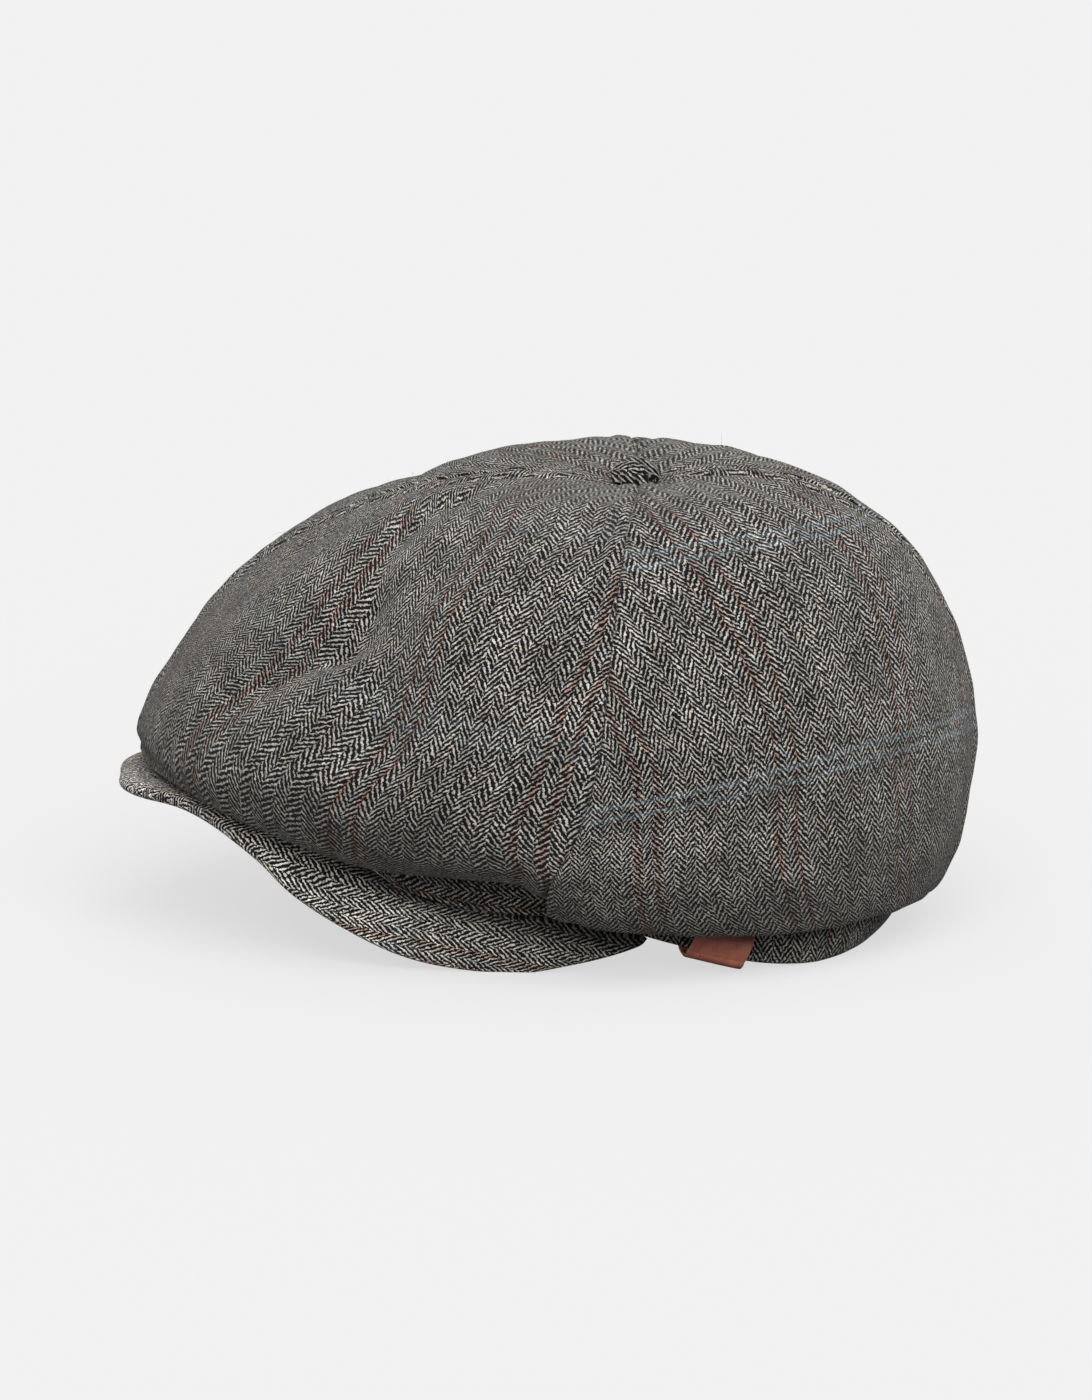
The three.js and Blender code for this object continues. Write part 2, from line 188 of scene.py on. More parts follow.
# The peak's outer edge by angle round the opening
PEAK_ROWS = table(
    "angle side back height",
    [
        (-10, -0.188, 0.002, 0.998),
        (0, 0, 0, 1),
        (10, 0.188, 0.002, 0.998),
        (20, 0.352, 0.036, 0.994),
        (30, 0.49, 0.108, 0.975),
        (40, 0.62, 0.185, 0.864),
        (50, 0.725, 0.26, 0.678),
        (58, 0.802, 0.328, 0.471),
        (66, 0.85, 0.42, 0.274),
        (74, 0.87, 0.523, 0.109),
        (82, 0.872, 0.634, 0.021),
        (88, 0.876, 0.745, 0),
        (93, 0.9, 0.84, 0.062),
        (97, 0.94, 0.915, 0.145),
        (101.5, 0.99, 1, 0.243),
    ],
)

# The crown's broad folds, each a capsule from a start to an end, sized in FOLD_SIZE
CROWN_FOLDS = table(
    "from_angle from_along to_angle to_along width depth",
    [
        (26, 0.3, 48, 0.56, 1.1, -0.42),
        (48, 0.56, 33, 0.68, 1, -0.36),
        (50, 0.5, 60, 0.66, 1.5, -0.4),
        (66, 0.5, 71, 0.66, 1.4, 0.3),
        (30, 0.48, 18, 0.7, 2.2, 0.3),
        (86, 0.76, 84, 0.86, 0.9, -0.3),
        (100, 0.8, 150, 0.77, 0.9, -0.2),
        (-30, 0.34, -52, 0.6, 1.3, -0.36),
        (-104, 0.8, -146, 0.76, 1, -0.22),
    ],
)

# Fine wrinkles, on the same lines and in the same form, that the broad folds break into
WRINKLES = table(
    "from_angle from_along to_angle to_along width depth",
    [
        (30, 0.36, 44, 0.5, 0.5, -0.16),
        (44, 0.5, 46, 0.59, 0.42, -0.22),
        (46, 0.59, 36, 0.655, 0.45, -0.24),
        (52, 0.47, 51, 0.6, 0.7, 0.12),
        (54, 0.46, 57, 0.6, 0.5, -0.08),
        (57, 0.6, 52, 0.7, 0.6, -0.08),
        (84, 0.6, 87, 0.66, 0.4, -0.08),
        (78, 0.52, 84, 0.62, 0.5, -0.06),
        (20, 0.24, 33, 0.3, 0.4, -0.1),
        (64, 0.78, 40, 0.83, 0.6, -0.08),
        (112, 0.55, 118, 0.7, 1, -0.05),
        (150, 0.45, 142, 0.62, 1.2, -0.06),
        (128, 0.83, 108, 0.86, 0.6, -0.09),
        (160, 0.84, 142, 0.86, 0.6, -0.08),
        (-40, 0.5, -50, 0.66, 0.6, -0.12),
        (-66, 0.55, -60, 0.7, 0.8, -0.08),
        (-118, 0.6, -125, 0.74, 0.9, -0.07),
        (-160, 0.5, -150, 0.68, 1, -0.06),
    ],
)


def row_weights(keys, places):
    """Weight of every row of a table at each place.

    The curve through the rows is a cubic Hermite curve, (2s³-3s²+1)·p0 + (s³-2s²+s)·m0 + (3s²-2s³)·p1 +
    (s³-s²)·m1, whose slope m at a row is the slope between the rows before and after it.
    """
    places = np.asarray(places, float)
    last = len(keys) - 1
    rows = np.eye(last + 1)
    after = np.minimum(np.arange(last + 1) + 1, last)
    before = np.maximum(np.arange(last + 1) - 1, 0)
    slopes = (rows[after] - rows[before]) / (keys[after] - keys[before])[:, None]
    low = np.clip(np.searchsorted(keys, places, side="right") - 1, 0, last - 1)
    span = (keys[low + 1] - keys[low])[..., None]
    share = (places - keys[low])[..., None] / span
    square = share**2
    cube = share**3
    start = (2 * cube - 3 * square + 1) * rows[low] + (cube - 2 * square + share) * span * slopes[low]
    end = (3 * square - 2 * cube) * rows[low + 1] + (cube - square) * span * slopes[low + 1]
    return start + end


def follow(rows, key, column, places):
    """Values of one column of a table at each place, on the curve through its rows."""
    return row_weights(rows[key], places) @ rows[column]


def follow_all(rows, key, places):
    """Values of every other column of a table at each place, by the column's name."""
    weights = row_weights(rows[key], places)
    return {column: weights @ rows[column] for column in rows if column != key}


def wrapped(angle):
    """Angles brought into the range from -180 to 180 degrees."""
    return angle - 360 * np.round(angle / 360)


def smoothstep(low, high, value):
    """3s²-2s³ of the share s that a value has reached between low and high, held from 0 to 1."""
    share = np.clip((value - low) / (high - low), 0, 1)
    return share * share * (3 - 2 * share)


def unit(vectors):
    """Vectors scaled to length one."""
    return vectors / np.linalg.norm(vectors, axis=-1, keepdims=True)


def oval_point(angle, centre_y, half_length, half_width, fullness, taper):
    """Point of an oval: x = W·sin·(1+f·cos²)·(1-t·cos), y = centre - L·cos·(1+f·sin²)."""
    ahead = np.cos(np.radians(angle))
    aside = np.sin(np.radians(angle))
    x = half_width * aside * (1 + fullness * ahead**2) * (1 - taper * ahead)
    y = centre_y - half_length * ahead * (1 + fullness * aside**2)
    return np.stack([x, y], -1)


TURN_STEP = 0.5
DOWN_STEP = 0.004


def opening_point(angle, outward):
    """Point of the head opening's oval, moved out along its normal."""
    angle, outward = np.broadcast_arrays(np.asarray(angle, float), np.asarray(outward, float))

    def oval(a):
        return oval_point(a, OPENING_SETBACK, OPENING_LENGTH / 2, OPENING_WIDTH / 2, OVAL_FULLNESS, 0)

    tangent = unit(oval(angle + TURN_STEP) - oval(angle - TURN_STEP))
    normal = np.stack([tangent[..., 1], -tangent[..., 0]], -1)
    return oval(angle) + normal * outward[..., None]


def opening_value(column, angle):
    """Value of one column of the opening's table, alike on both sides."""
    return follow(OPENING_ROWS, "angle", column, np.abs(wrapped(angle)))


def rim_height(angle):
    """Height of the band's lower edge."""
    return np.maximum(RIM_RISE * opening_value("rim_height", angle), 0)


def seam_height(angle):
    """Height of the seam between band and crown."""
    return rim_height(angle) + BAND_HEIGHT * opening_value("band", angle)


def ring_points(angle):
    """Points of all the crown's rings at each angle. Height = mean + tilt·cos(a) + sway·cos(2a)."""
    turned = angle[..., None]
    rings = CROWN_RINGS
    front = BUTTON_SETBACK - CROWN_FRONT * rings["reach_front"]
    rear = BUTTON_SETBACK + CROWN_REAR * rings["reach_rear"]
    half_width = CROWN_HALF_WIDTH * rings["reach_side"]
    flat = oval_point(turned, (front + rear) / 2, (rear - front) / 2, half_width, 0, rings["taper"])
    ends = (rings["height_front"] + rings["height_rear"]) / 2
    tilt = (rings["height_front"] - rings["height_rear"]) / 2
    mean = (ends + rings["height_side"]) / 2
    sway = (ends - rings["height_side"]) / 2
    height = mean + tilt * np.cos(np.radians(turned)) + sway * np.cos(np.radians(2 * turned))
    return np.concatenate([flat, CROWN_HEIGHT * height[..., None]], -1)


def crown_stations(angle, rear):
    """The places that the crown's cloth passes at each angle: its rings, its fold and its sewn edge."""
    turn = follow_all(REAR_HEM if rear else FRONT_HEM, "angle", np.abs(wrapped(angle)))
    rings = ring_points(angle)
    widest = rings[..., -1, :]
    edge = opening_point(angle, SEWN_GAP)
    seam = seam_height(angle)
    fold = seam - FOLD_DEPTH * turn["fold_drop"]
    under = fold + (widest[..., 2] - fold) * turn["under_rise"]
    added = []
    for reach, height in (
        (turn["under_reach"], under),
        (turn["fold_reach"], fold),
        (np.zeros_like(angle), seam),
    ):
        flat = edge + (widest[..., :2] - edge) * reach[..., None]
        added.append(np.concatenate([flat, height[..., None]], -1))
    return np.concatenate([rings, np.stack(added, -2)], -2)


STATION_KEYS = np.append(CROWN_RINGS["along"], [ALONG_UNDER, ALONG_FOLD, 1])


def smooth_crown(angle, along, rear=False):
    """Point of the smooth crown, before its folds and seams, on the curve through its stations."""
    angle, along = np.broadcast_arrays(np.asarray(angle, float), np.asarray(along, float))
    weights = row_weights(STATION_KEYS, along)
    return np.einsum("...k,...kc->...c", weights, crown_stations(angle, rear))


def crown_normal(angle, along, rear=False):
    """Outward normal of the smooth crown: its slope downwards crossed with its slope round."""
    low = np.maximum(along - DOWN_STEP, DOWN_STEP)
    high = np.minimum(along + DOWN_STEP, 1)
    around = smooth_crown(angle + TURN_STEP, along, rear) - smooth_crown(angle - TURN_STEP, along, rear)
    down = smooth_crown(angle, high, rear) - smooth_crown(angle, low, rear)
    return unit(np.cross(down, around))


def fold_height(folds, angle, along):
    """Sum over all folds of depth·exp(-(distance from the fold's line / width)²)."""
    cloth_length = CLOTH_LENGTH_SHARE * CROWN_HALF_WIDTH
    across_length = np.radians(CROWN_HALF_WIDTH)
    line_x = (folds["to_angle"] - folds["from_angle"]) * across_length
    line_y = (folds["to_along"] - folds["from_along"]) * cloth_length
    x = wrapped(angle[..., None] - folds["from_angle"]) * across_length
    y = (along[..., None] - folds["from_along"]) * cloth_length
    share = np.clip((x * line_x + y * line_y) / (line_x**2 + line_y**2), 0, 1)
    away = np.hypot(x - share * line_x, y - share * line_y) / (folds["width"] * FOLD_SIZE)
    return np.sum(folds["depth"] * FOLD_SIZE * np.exp(-(away**2)), -1)


def ripple(x, y, wavelength, seed, waves=7):
    """Soft unevenness about zero: twice the mean of sine waves of about one length, in seeded directions."""
    shortest, longest = 0.7, 1.5
    chance = np.random.default_rng(seed)
    heading = chance.uniform(0, 2 * np.pi, waves)
    length = wavelength * chance.uniform(shortest, longest, waves)
    phase = chance.uniform(0, 2 * np.pi, waves)
    travel = x[..., None] * np.cos(heading) + y[..., None] * np.sin(heading)
    return np.sin(2 * np.pi * travel / length + phase).mean(-1) * 2


def side_seam_angle(along):
    """Angle of the side seam on its way down the cloth."""
    return follow(SIDE_SEAM, "along", "angle", along)


def seam_profile(away, down, seed):
    """Height of the cloth beside a pressed-open seam, by the distance away from it and the place down it.

    Over the turned edges the cloth stands one ridge high as far as their width, past which it dips a little,
    by d·exp(-(a/w)²). At the stitched line itself it sinks into a narrow groove in the same form, which
    pulls the cloth into small puckers.
    """
    ridge, ridge_width, shoulder = 0.65, 6, 1.6
    dip, dip_away, dip_width = 0.3, 2.4, 2.2
    groove, groove_width = 1.1, 0.9
    pucker, pucker_length, stretched = 0.2, 11, 0.15
    plateau = ridge * (1 - smoothstep(ridge_width - shoulder, ridge_width + shoulder, away))
    hollow = -dip * np.exp(-(((away - ridge_width - dip_away) / dip_width) ** 2))
    stitched = -groove * np.exp(-((away / groove_width) ** 2))
    waves = ripple(down, away * stretched, pucker_length, seed) * np.exp(-((away / ridge_width) ** 2))
    return plateau + hollow + stitched + pucker * waves


def column_shares(count):
    """Shares from 0 to 1 that lie closer together at both ends: part even, part by (1-cos)/2."""
    even = np.linspace(0, 1, count + 1)
    gathered = 0.65
    return (1 - gathered) * even + gathered * (1 - np.cos(np.pi * even)) / 2


def down_arc(points):
    """Length down each column of a grid of points, from its first row."""
    steps = np.linalg.norm(np.diff(points, axis=0), axis=-1)
    return np.concatenate([np.zeros((1, points.shape[1])), np.cumsum(steps, axis=0)])


# The front panel's cut by the place down it: the angle of the brown lines in its middle, the cloth's width
# as a share of the ring's towards the nose, before the middle and beside it, and how far its weft slants
FRONT_CUT = table(
    "along middle nose front side slant",
    [
        (0, 45, 0.85, 0.85, 0.85, 0.05),
        (0.25, 50, 0.85, 0.85, 0.85, 0.1),
        (0.338, 59, 0.9, 0.9, 0.85, 0.14),
        (0.43, 62.5, 0.92, 0.95, 0.9, 0.16),
        (0.532, 63.3, 0.9, 0.95, 0.86, 0.18),
        (0.6, 64.5, 0.84, 0.82, 0.92, 0.24),
        (0.66, 65, 0.78, 0.66, 0.95, 0.36),
        (0.71, 64, 0.74, 0.59, 0.92, 0.42),
        (0.76, 61.5, 0.74, 0.57, 0.86, 0.44),
        (0.83, 59, 0.75, 0.58, 0.83, 0.44),
        (1, 58, 0.75, 0.6, 0.83, 0.44),
    ],
)
# How much narrower or wider the rear panel is cut than the ring that it lies on
REAR_CUT = table(
    "along cut",
    [
        (0, 0.7),
        (0.37, 0.75),
        (0.47, 0.81),
        (0.56, 0.88),
        (0.65, 0.97),
        (0.74, 1.07),
        (1, 1.08),
    ],
)
STRIPE_SPACING = 49
CHECK_SPACING = 80
FIRST_CHECK = 79
WIDEST = CROWN_RINGS["along"][-1]


def hang(angle, along, radius):
    """Angle and radius at which a place below the crown's widest line lies on the cloth.

    From that line down the weave's columns hang straight, at r·cos(a) unchanged: a = 90 + (angle - 90)·r/R.
    """
    widest_row = np.argmin(np.abs(along[:, 0] - WIDEST))
    widest = radius[widest_row]
    share = np.where(along > WIDEST, radius / widest, 1)
    return 90 + (angle - 90) * share, np.where(along > WIDEST, widest, radius)


def front_cloth(angle, along, arc, radius):
    """Place on the front panel's cloth: u = radius·turn·cut, v = arc + slant·way forward - start.

    The turn is the angle from the brown lines in the middle. The cut blends from nose to front to side, and
    the way forward starts softly, as t²/(t+b).
    """
    nose_end, blend = 30, 12
    angle, radius = hang(angle, along, radius)
    cut = follow_all(FRONT_CUT, "along", along)
    turn = angle - cut["middle"]
    share = cut["nose"] + (cut["front"] - cut["nose"]) * smoothstep(0, nose_end, angle)
    share = share + (cut["side"] - share) * smoothstep(-blend, blend, turn)
    u = radius * np.radians(turn) * share
    forward = radius * np.radians(np.maximum(-turn, 0) ** 2 / (np.abs(turn) + blend))
    return np.stack([u, arc + cut["slant"] * forward - FIRST_CHECK], -1)


def rear_cloth(angle, along, arc, radius):
    """Place on the rear panel's cloth: u = radius·turn·cut + shift, v = arc / (1 + tilt·t + bow·t²) - start.

    The tilt and the bow of its blue lines are eased towards the hem.
    """
    middle, shift, tilt, bow = 135, 26, -0.00193, 0.0000527
    eased, easing = 0.7, (0.7, 0.92)
    angle, radius = hang(angle, along, radius)
    turn = angle - middle
    u = radius * np.radians(turn) * follow(REAR_CUT, "along", "cut", along) + shift
    level = 1 - eased * smoothstep(*easing, along)
    return np.stack([u, arc / (1 + (tilt * turn + bow * turn**2) * level) - FIRST_CHECK], -1)


def cloth_lift(angle, along, arc, seam_away, depth):
    """Height of all that the crown's cloth does above its smooth form: folds, wrinkles, seams and waves."""
    around = np.radians(wrapped(angle)) * CROWN_HALF_WIDTH
    lift = fold_height(CROWN_FOLDS, angle, along) + fold_height(WRINKLES, angle, along) * depth
    for height, wavelength, seed in ((0.5, 46, 3), (0.22, 19, 5)):
        lift = lift + height * depth * ripple(around, arc, wavelength, seed)
    seams = seam_profile(seam_away, arc, seed=11)
    fade = smoothstep(FOLD_START, FOLD_FULL, along)
    return lift * fade + seams * smoothstep(PANEL_START, SEAM_FULL, along)


def panel_surfaces(side, rear, columns, rows, depth):
    """Outer and inner faces of one crown panel, and the place on its cloth. side is 1 left and -1 right.

    Each face is the smooth crown moved along its normal by the cloth's lift. Rows lie closer past the split,
    where the hem turns under. A right panel is the left one's mirror image in its outline and cut, with
    folds of its own.
    """
    split, rows_above = 0.85, 0.72
    upper = int(rows * rows_above)
    along = np.append(np.linspace(PANEL_START, split, upper), np.linspace(split, 1, rows - upper)[1:])
    along = along[:, None]
    seam = side_seam_angle(along)
    first = seam if rear else np.zeros_like(seam)
    last = np.full_like(seam, 180.0) if rear else seam
    ring = smooth_crown(seam, along)
    radius = np.hypot(ring[..., 0], ring[..., 1] - BUTTON_SETBACK)
    trim = np.degrees(PANEL_GAP / 2 / radius)
    shares = column_shares(columns)[None, :]
    angle = first + trim + (last - first - 2 * trim) * shares
    along = np.broadcast_to(along, angle.shape)
    smooth = smooth_crown(angle, along, rear)
    radius = np.hypot(smooth[..., 0], smooth[..., 1] - BUTTON_SETBACK)
    arc = down_arc(smooth) + radius[:1]
    away = np.radians(np.minimum(angle - first, last - angle)) * radius
    lift = cloth_lift(side * angle, along, arc, away, depth)
    normal = crown_normal(angle, along, rear)
    outer = smooth + normal * lift[..., None]
    inner = smooth + normal * (lift - CLOTH_THICKNESS)[..., None]
    cloth = rear_cloth(angle, along, arc, radius) if rear else front_cloth(angle, along, arc, radius)
    if side < 0:
        mirror = np.array([-1, 1, 1])
        outer, inner, cloth = (outer * mirror)[:, ::-1], (inner * mirror)[:, ::-1], cloth[:, ::-1]
    return outer, inner, cloth


def wall_faces(rows, columns, closed):
    """Corners of a wall's faces, as places in two grids of rows and columns, the outer one first.

    Each face is four (side, row, column) triples. Where the wall is a closed ring, the last column is the
    first.
    """
    r, c = np.meshgrid(np.arange(rows - 1), np.arange(columns - 1), indexing="ij")
    r, c = r.ravel(), c.ravel()
    every = np.arange(columns - 1)
    down = np.arange(rows - 1)
    end = rows - 1
    edge = columns - 1

    def quads(*corners):
        width = max(np.size(x) for corner in corners for x in corner)
        spread = [[np.broadcast_to(x, width) for x in corner] for corner in corners]
        return np.stack([np.stack(corner, -1) for corner in spread], 1)

    parts = [
        quads((0, r, c), (0, r + 1, c), (0, r + 1, c + 1), (0, r, c + 1)),
        quads((1, r, c), (1, r, c + 1), (1, r + 1, c + 1), (1, r + 1, c)),
        quads((0, 0, every), (0, 0, every + 1), (1, 0, every + 1), (1, 0, every)),
        quads((0, end, every), (1, end, every), (1, end, every + 1), (0, end, every + 1)),
    ]
    if not closed:
        parts.append(quads((0, down, 0), (1, down, 0), (1, down + 1, 0), (0, down + 1, 0)))
        parts.append(quads((0, down, edge), (0, down + 1, edge), (1, down + 1, edge), (1, down, edge)))
    return np.concatenate(parts)


def make_wall(name, outer, inner, cloth, closed=False):
    """Mesh object of a wall between an outer and an inner grid of points, with its place on the cloth.

    Its edges are closed. Where the wall itself is closed into a ring, its grids repeat their first column as
    their last, so that the cloth runs on across it.
    """
    rows, columns = outer.shape[:2]
    faces = wall_faces(rows, columns, closed)
    kept = columns - 1 if closed else columns
    points = np.concatenate([outer[:, :kept].reshape(-1, 3), inner[:, :kept].reshape(-1, 3)])
    corner = (faces[..., 0] * rows + faces[..., 1]) * kept + faces[..., 2] % kept
    places = cloth[faces[..., 1], faces[..., 2]]
    return make_object(name, points, corner, places)


def make_object(name, points, faces, places):
    """Mesh object from points in millimetres, four-cornered faces and each corner's place on the cloth."""
    mesh = bpy.data.meshes.new(name)
    mesh.vertices.add(len(points))
    mesh.vertices.foreach_set("co", (points * MILLIMETRE).astype(np.float32).ravel())
    mesh.loops.add(faces.size)
    mesh.loops.foreach_set("vertex_index", faces.astype(np.int32).ravel())
    mesh.polygons.add(len(faces))
    mesh.polygons.foreach_set("loop_start", np.arange(0, faces.size, 4, dtype=np.int32))
    mesh.polygons.foreach_set("use_smooth", np.ones(len(faces), bool))
    layer = mesh.uv_layers.new(name="Cloth")
    layer.data.foreach_set("uv", places.astype(np.float32).ravel())
    mesh.update(calc_edges=True)
    mesh.validate()
    piece = bpy.data.objects.new(name, mesh)
    bpy.context.scene.collection.objects.link(piece)
    return piece


def dress(piece, node, material):
    """Give a piece its finish and its place in the part: it rides on the body, and the CAD node that it
    stands in for is hidden.
    """
    piece.data.materials.append(material)
    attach(piece, BODY)
    if node:
        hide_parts(node)


class Graph:
    """A node tree with short calls for the nodes that the finishes are made of."""

    def __init__(self, tree):
        self.tree = tree

    def node(self, kind, **settings):
        """A new node of a kind, with its settings."""
        made = self.tree.nodes.new(kind)
        for key, value in settings.items():
            setattr(made, key, value)
        return made

    def put(self, value, socket):
        """Link a socket to another, or give it a plain value."""
        if isinstance(value, bpy.types.NodeSocket):
            self.tree.links.new(value, socket)
        else:
            socket.default_value = value

    def worked(self, made, values):
        """First output of a node whose inputs take the values in turn."""
        for value, socket in zip(values, made.inputs):
            self.put(value, socket)
        return made.outputs[0]

    def math(self, operation, *values):
        """Result of one operation on numbers."""
        return self.worked(self.node("ShaderNodeMath", operation=operation), values)

    def vector(self, operation, *values):
        """Result of one operation on places or colours."""
        return self.worked(self.node("ShaderNodeVectorMath", operation=operation), values)

    def parts(self, place):
        """The three numbers of a place."""
        made = self.node("ShaderNodeSeparateXYZ")
        self.put(place, made.inputs[0])
        return made.outputs

    def noise(self, place, size, detail=2.0, roughness=0.5, colour=False):
        """Noise of a typical size in the units of the place it reads."""
        made = self.node("ShaderNodeTexNoise")
        self.put(place, made.inputs["Vector"])
        fill(made, {"Scale": 1 / size, "Detail": detail, "Roughness": roughness})
        return made.outputs["Color" if colour else "Fac"]

    def ramp(self, value, low, high, to_low=0.0, to_high=1.0):
        """Value mapped from one range to another by 3s²-2s³, held at its ends."""
        made = self.node("ShaderNodeMapRange", interpolation_type="SMOOTHSTEP")
        return self.worked(made, (value, low, high, to_low, to_high))

    def mix(self, factor, first, second, blend="MIX"):
        """Colour between two others, or another blend of them."""
        made = self.node("ShaderNodeMix", data_type="RGBA", blend_type=blend)
        self.put(factor, made.inputs["Factor"])
        self.put(first, made.inputs["A"])
        self.put(second, made.inputs["B"])
        return made.outputs["Result"]

    def tint(self, colour, by):
        """Colour multiplied by another colour or by a value."""
        return self.mix(1.0, colour, by, "MULTIPLY")


def fill(node, values):
    """Set a node's inputs by their names. A colour is three numbers here and gets its alpha."""
    for label, value in values.items():
        socket = node.inputs[label]
        socket.default_value = (*value, 1) if socket.type == "RGBA" else value


def new_group(name, inputs, outputs):
    """An empty shader node group with named sockets. Returns it, its graph, its inputs and its end node."""
    group = bpy.data.node_groups.new(name, "ShaderNodeTree")
    for label, kind, value in inputs:
        socket = group.interface.new_socket(label, in_out="INPUT", socket_type=kind)
        if value is not None:
            socket.default_value = value
    for label, kind in outputs:
        group.interface.new_socket(label, in_out="OUTPUT", socket_type=kind)
    start = group.nodes.new("NodeGroupInput")
    end = group.nodes.new("NodeGroupOutput")
    return group, Graph(group), start.outputs, end


def stripe_mask(graph, place, spacing, half_gap, full, end):
    """One on pairs of lines, spaced evenly: the distance from either line of the nearest pair is small.

    It is one as far from the line as full, and none is left at end.
    """
    shifted = graph.math("ADD", place, spacing / 2)
    repeated = graph.math("FLOORED_MODULO", shifted, spacing)
    from_pair = graph.math("ABSOLUTE", graph.math("SUBTRACT", repeated, spacing / 2))
    from_line = graph.math("ABSOLUTE", graph.math("SUBTRACT", from_pair, half_gap))
    return graph.ramp(from_line, full, end, 1.0, 0.0)


def shaken_place(graph, place):
    """Place on the cloth, pushed aside by noise: a wide one for the drift and a fine one for the yarn."""
    moved = place
    for size, reach in ((11, 2.2), (1.3, 1.1)):
        push = graph.vector("SUBTRACT", graph.noise(place, size, 1.0, colour=True), (0.5, 0.5, 0.5))
        moved = graph.vector("MULTIPLY_ADD", push, (reach, reach, 0), moved)
    return moved


def herringbone_wave(graph, across, along, given):
    """Wave from -1 to 1 across the slanting lines: sin(2π·(climbed/pitch + 1/2 in every other column))."""
    slant = graph.math("PINGPONG", across, given["Column width"])
    column = graph.math("FLOOR", graph.math("DIVIDE", across, given["Column width"]))
    odd = graph.math("FLOORED_MODULO", column, 2.0)
    climbed = graph.math("MULTIPLY_ADD", slant, given["Line slope"], along)
    line = graph.math("MULTIPLY_ADD", odd, 0.5, graph.math("DIVIDE", climbed, given["Line pitch"]))
    return graph.math("SINE", graph.math("MULTIPLY", line, 2 * np.pi))


def yarn_mask(graph, place, wave, given):
    """One on the light yarn: the wave, made uneven by the yarn's own grain, is above the darkness."""
    grain = graph.math("SUBTRACT", graph.noise(place, 0.85, 3.0, 0.7), 0.5)
    uneven = graph.math("SUBTRACT", graph.math("MULTIPLY_ADD", grain, 6.4, wave), given["Darkness"])
    return graph.ramp(uneven, graph.math("MULTIPLY", given["Softness"], -1.0), given["Softness"])


def herringbone_group():
    """Group that weaves the tweed at a place on the cloth, given in millimetres.

    The cloth is columns of slanting lines, whose slant turns at each column's edge, where the lines also
    step by half a line. Light and dark yarn take turns across the lines. Brown lines run with the columns
    in pairs, and pale blue ones across them.
    """
    colour, number, vector = "NodeSocketColor", "NodeSocketFloat", "NodeSocketVector"
    inputs = [
        ("Place", vector, None),
        ("Light yarn", colour, (0.5, 0.5, 0.5, 1)),
        ("Dark yarn", colour, (0.02, 0.02, 0.02, 1)),
        ("Brown line", colour, (0.5, 0.3, 0.2, 1)),
        ("Blue line", colour, (0.3, 0.4, 0.5, 1)),
        ("Column width", number, 3.6),
        ("Line pitch", number, 2.4),
        ("Line slope", number, 1.4),
        ("Softness", number, 0.25),
        ("Darkness", number, 0.5),
        ("Blue share", number, 1.0),
    ]
    group, g, given, end = new_group("Herringbone tweed", inputs, [("Color", colour), ("Height", number)])
    place = given["Place"]
    broad = g.noise(place, 15, 4.0, 0.65)
    across, along, _ = g.parts(shaken_place(g, place))
    wave = herringbone_wave(g, across, along, given)
    light = yarn_mask(g, place, wave, given)

    # The light yarn is a little warmer in places
    warmer = g.tint(given["Light yarn"], (1.05, 0.99, 0.92, 1))
    light_yarn = g.mix(g.ramp(g.noise(place, 5, 2.0), 0.35, 0.65), given["Light yarn"], warmer)
    cloth = g.mix(light, given["Dark yarn"], light_yarn)

    # Brown lines tint all of the cloth in patches, and blue ones show on its light yarn most
    brown = stripe_mask(g, across, STRIPE_SPACING, half_gap=3.4, full=0.5, end=1.3)
    patchy = g.ramp(g.noise(place, 1.8, 2.0), 0.38, 0.56, 0.3, 1.0)
    cloth = g.mix(g.math("MULTIPLY", brown, patchy), cloth, g.tint(cloth, given["Brown line"]))
    blue = stripe_mask(g, along, CHECK_SPACING, half_gap=2.6, full=0.5, end=1.6)
    strength = g.math("MULTIPLY", g.ramp(broad, 0.35, 0.6, 1.0, 0.7), given["Blue share"])
    on_light = g.math("MULTIPLY", g.math("MULTIPLY", blue, strength), g.ramp(light, 0.0, 1.0, 0.1, 0.9))
    cloth = g.mix(on_light, cloth, given["Blue line"])

    # The whole cloth is paler and darker in small and in broad patches
    small = g.ramp(g.noise(place, 1.9, 3.0, 0.6), 0.3, 0.7, 0.6, 1.4)
    large = g.ramp(broad, 0.3, 0.7, 0.7, 1.28)
    g.put(g.tint(cloth, g.math("MULTIPLY", small, large)), end.inputs["Color"])
    fuzz = g.math("MULTIPLY", g.noise(place, 0.4, 3.0, 0.6), 0.8)
    g.put(g.math("MULTIPLY_ADD", wave, 0.3, fuzz), end.inputs["Height"])
    return group


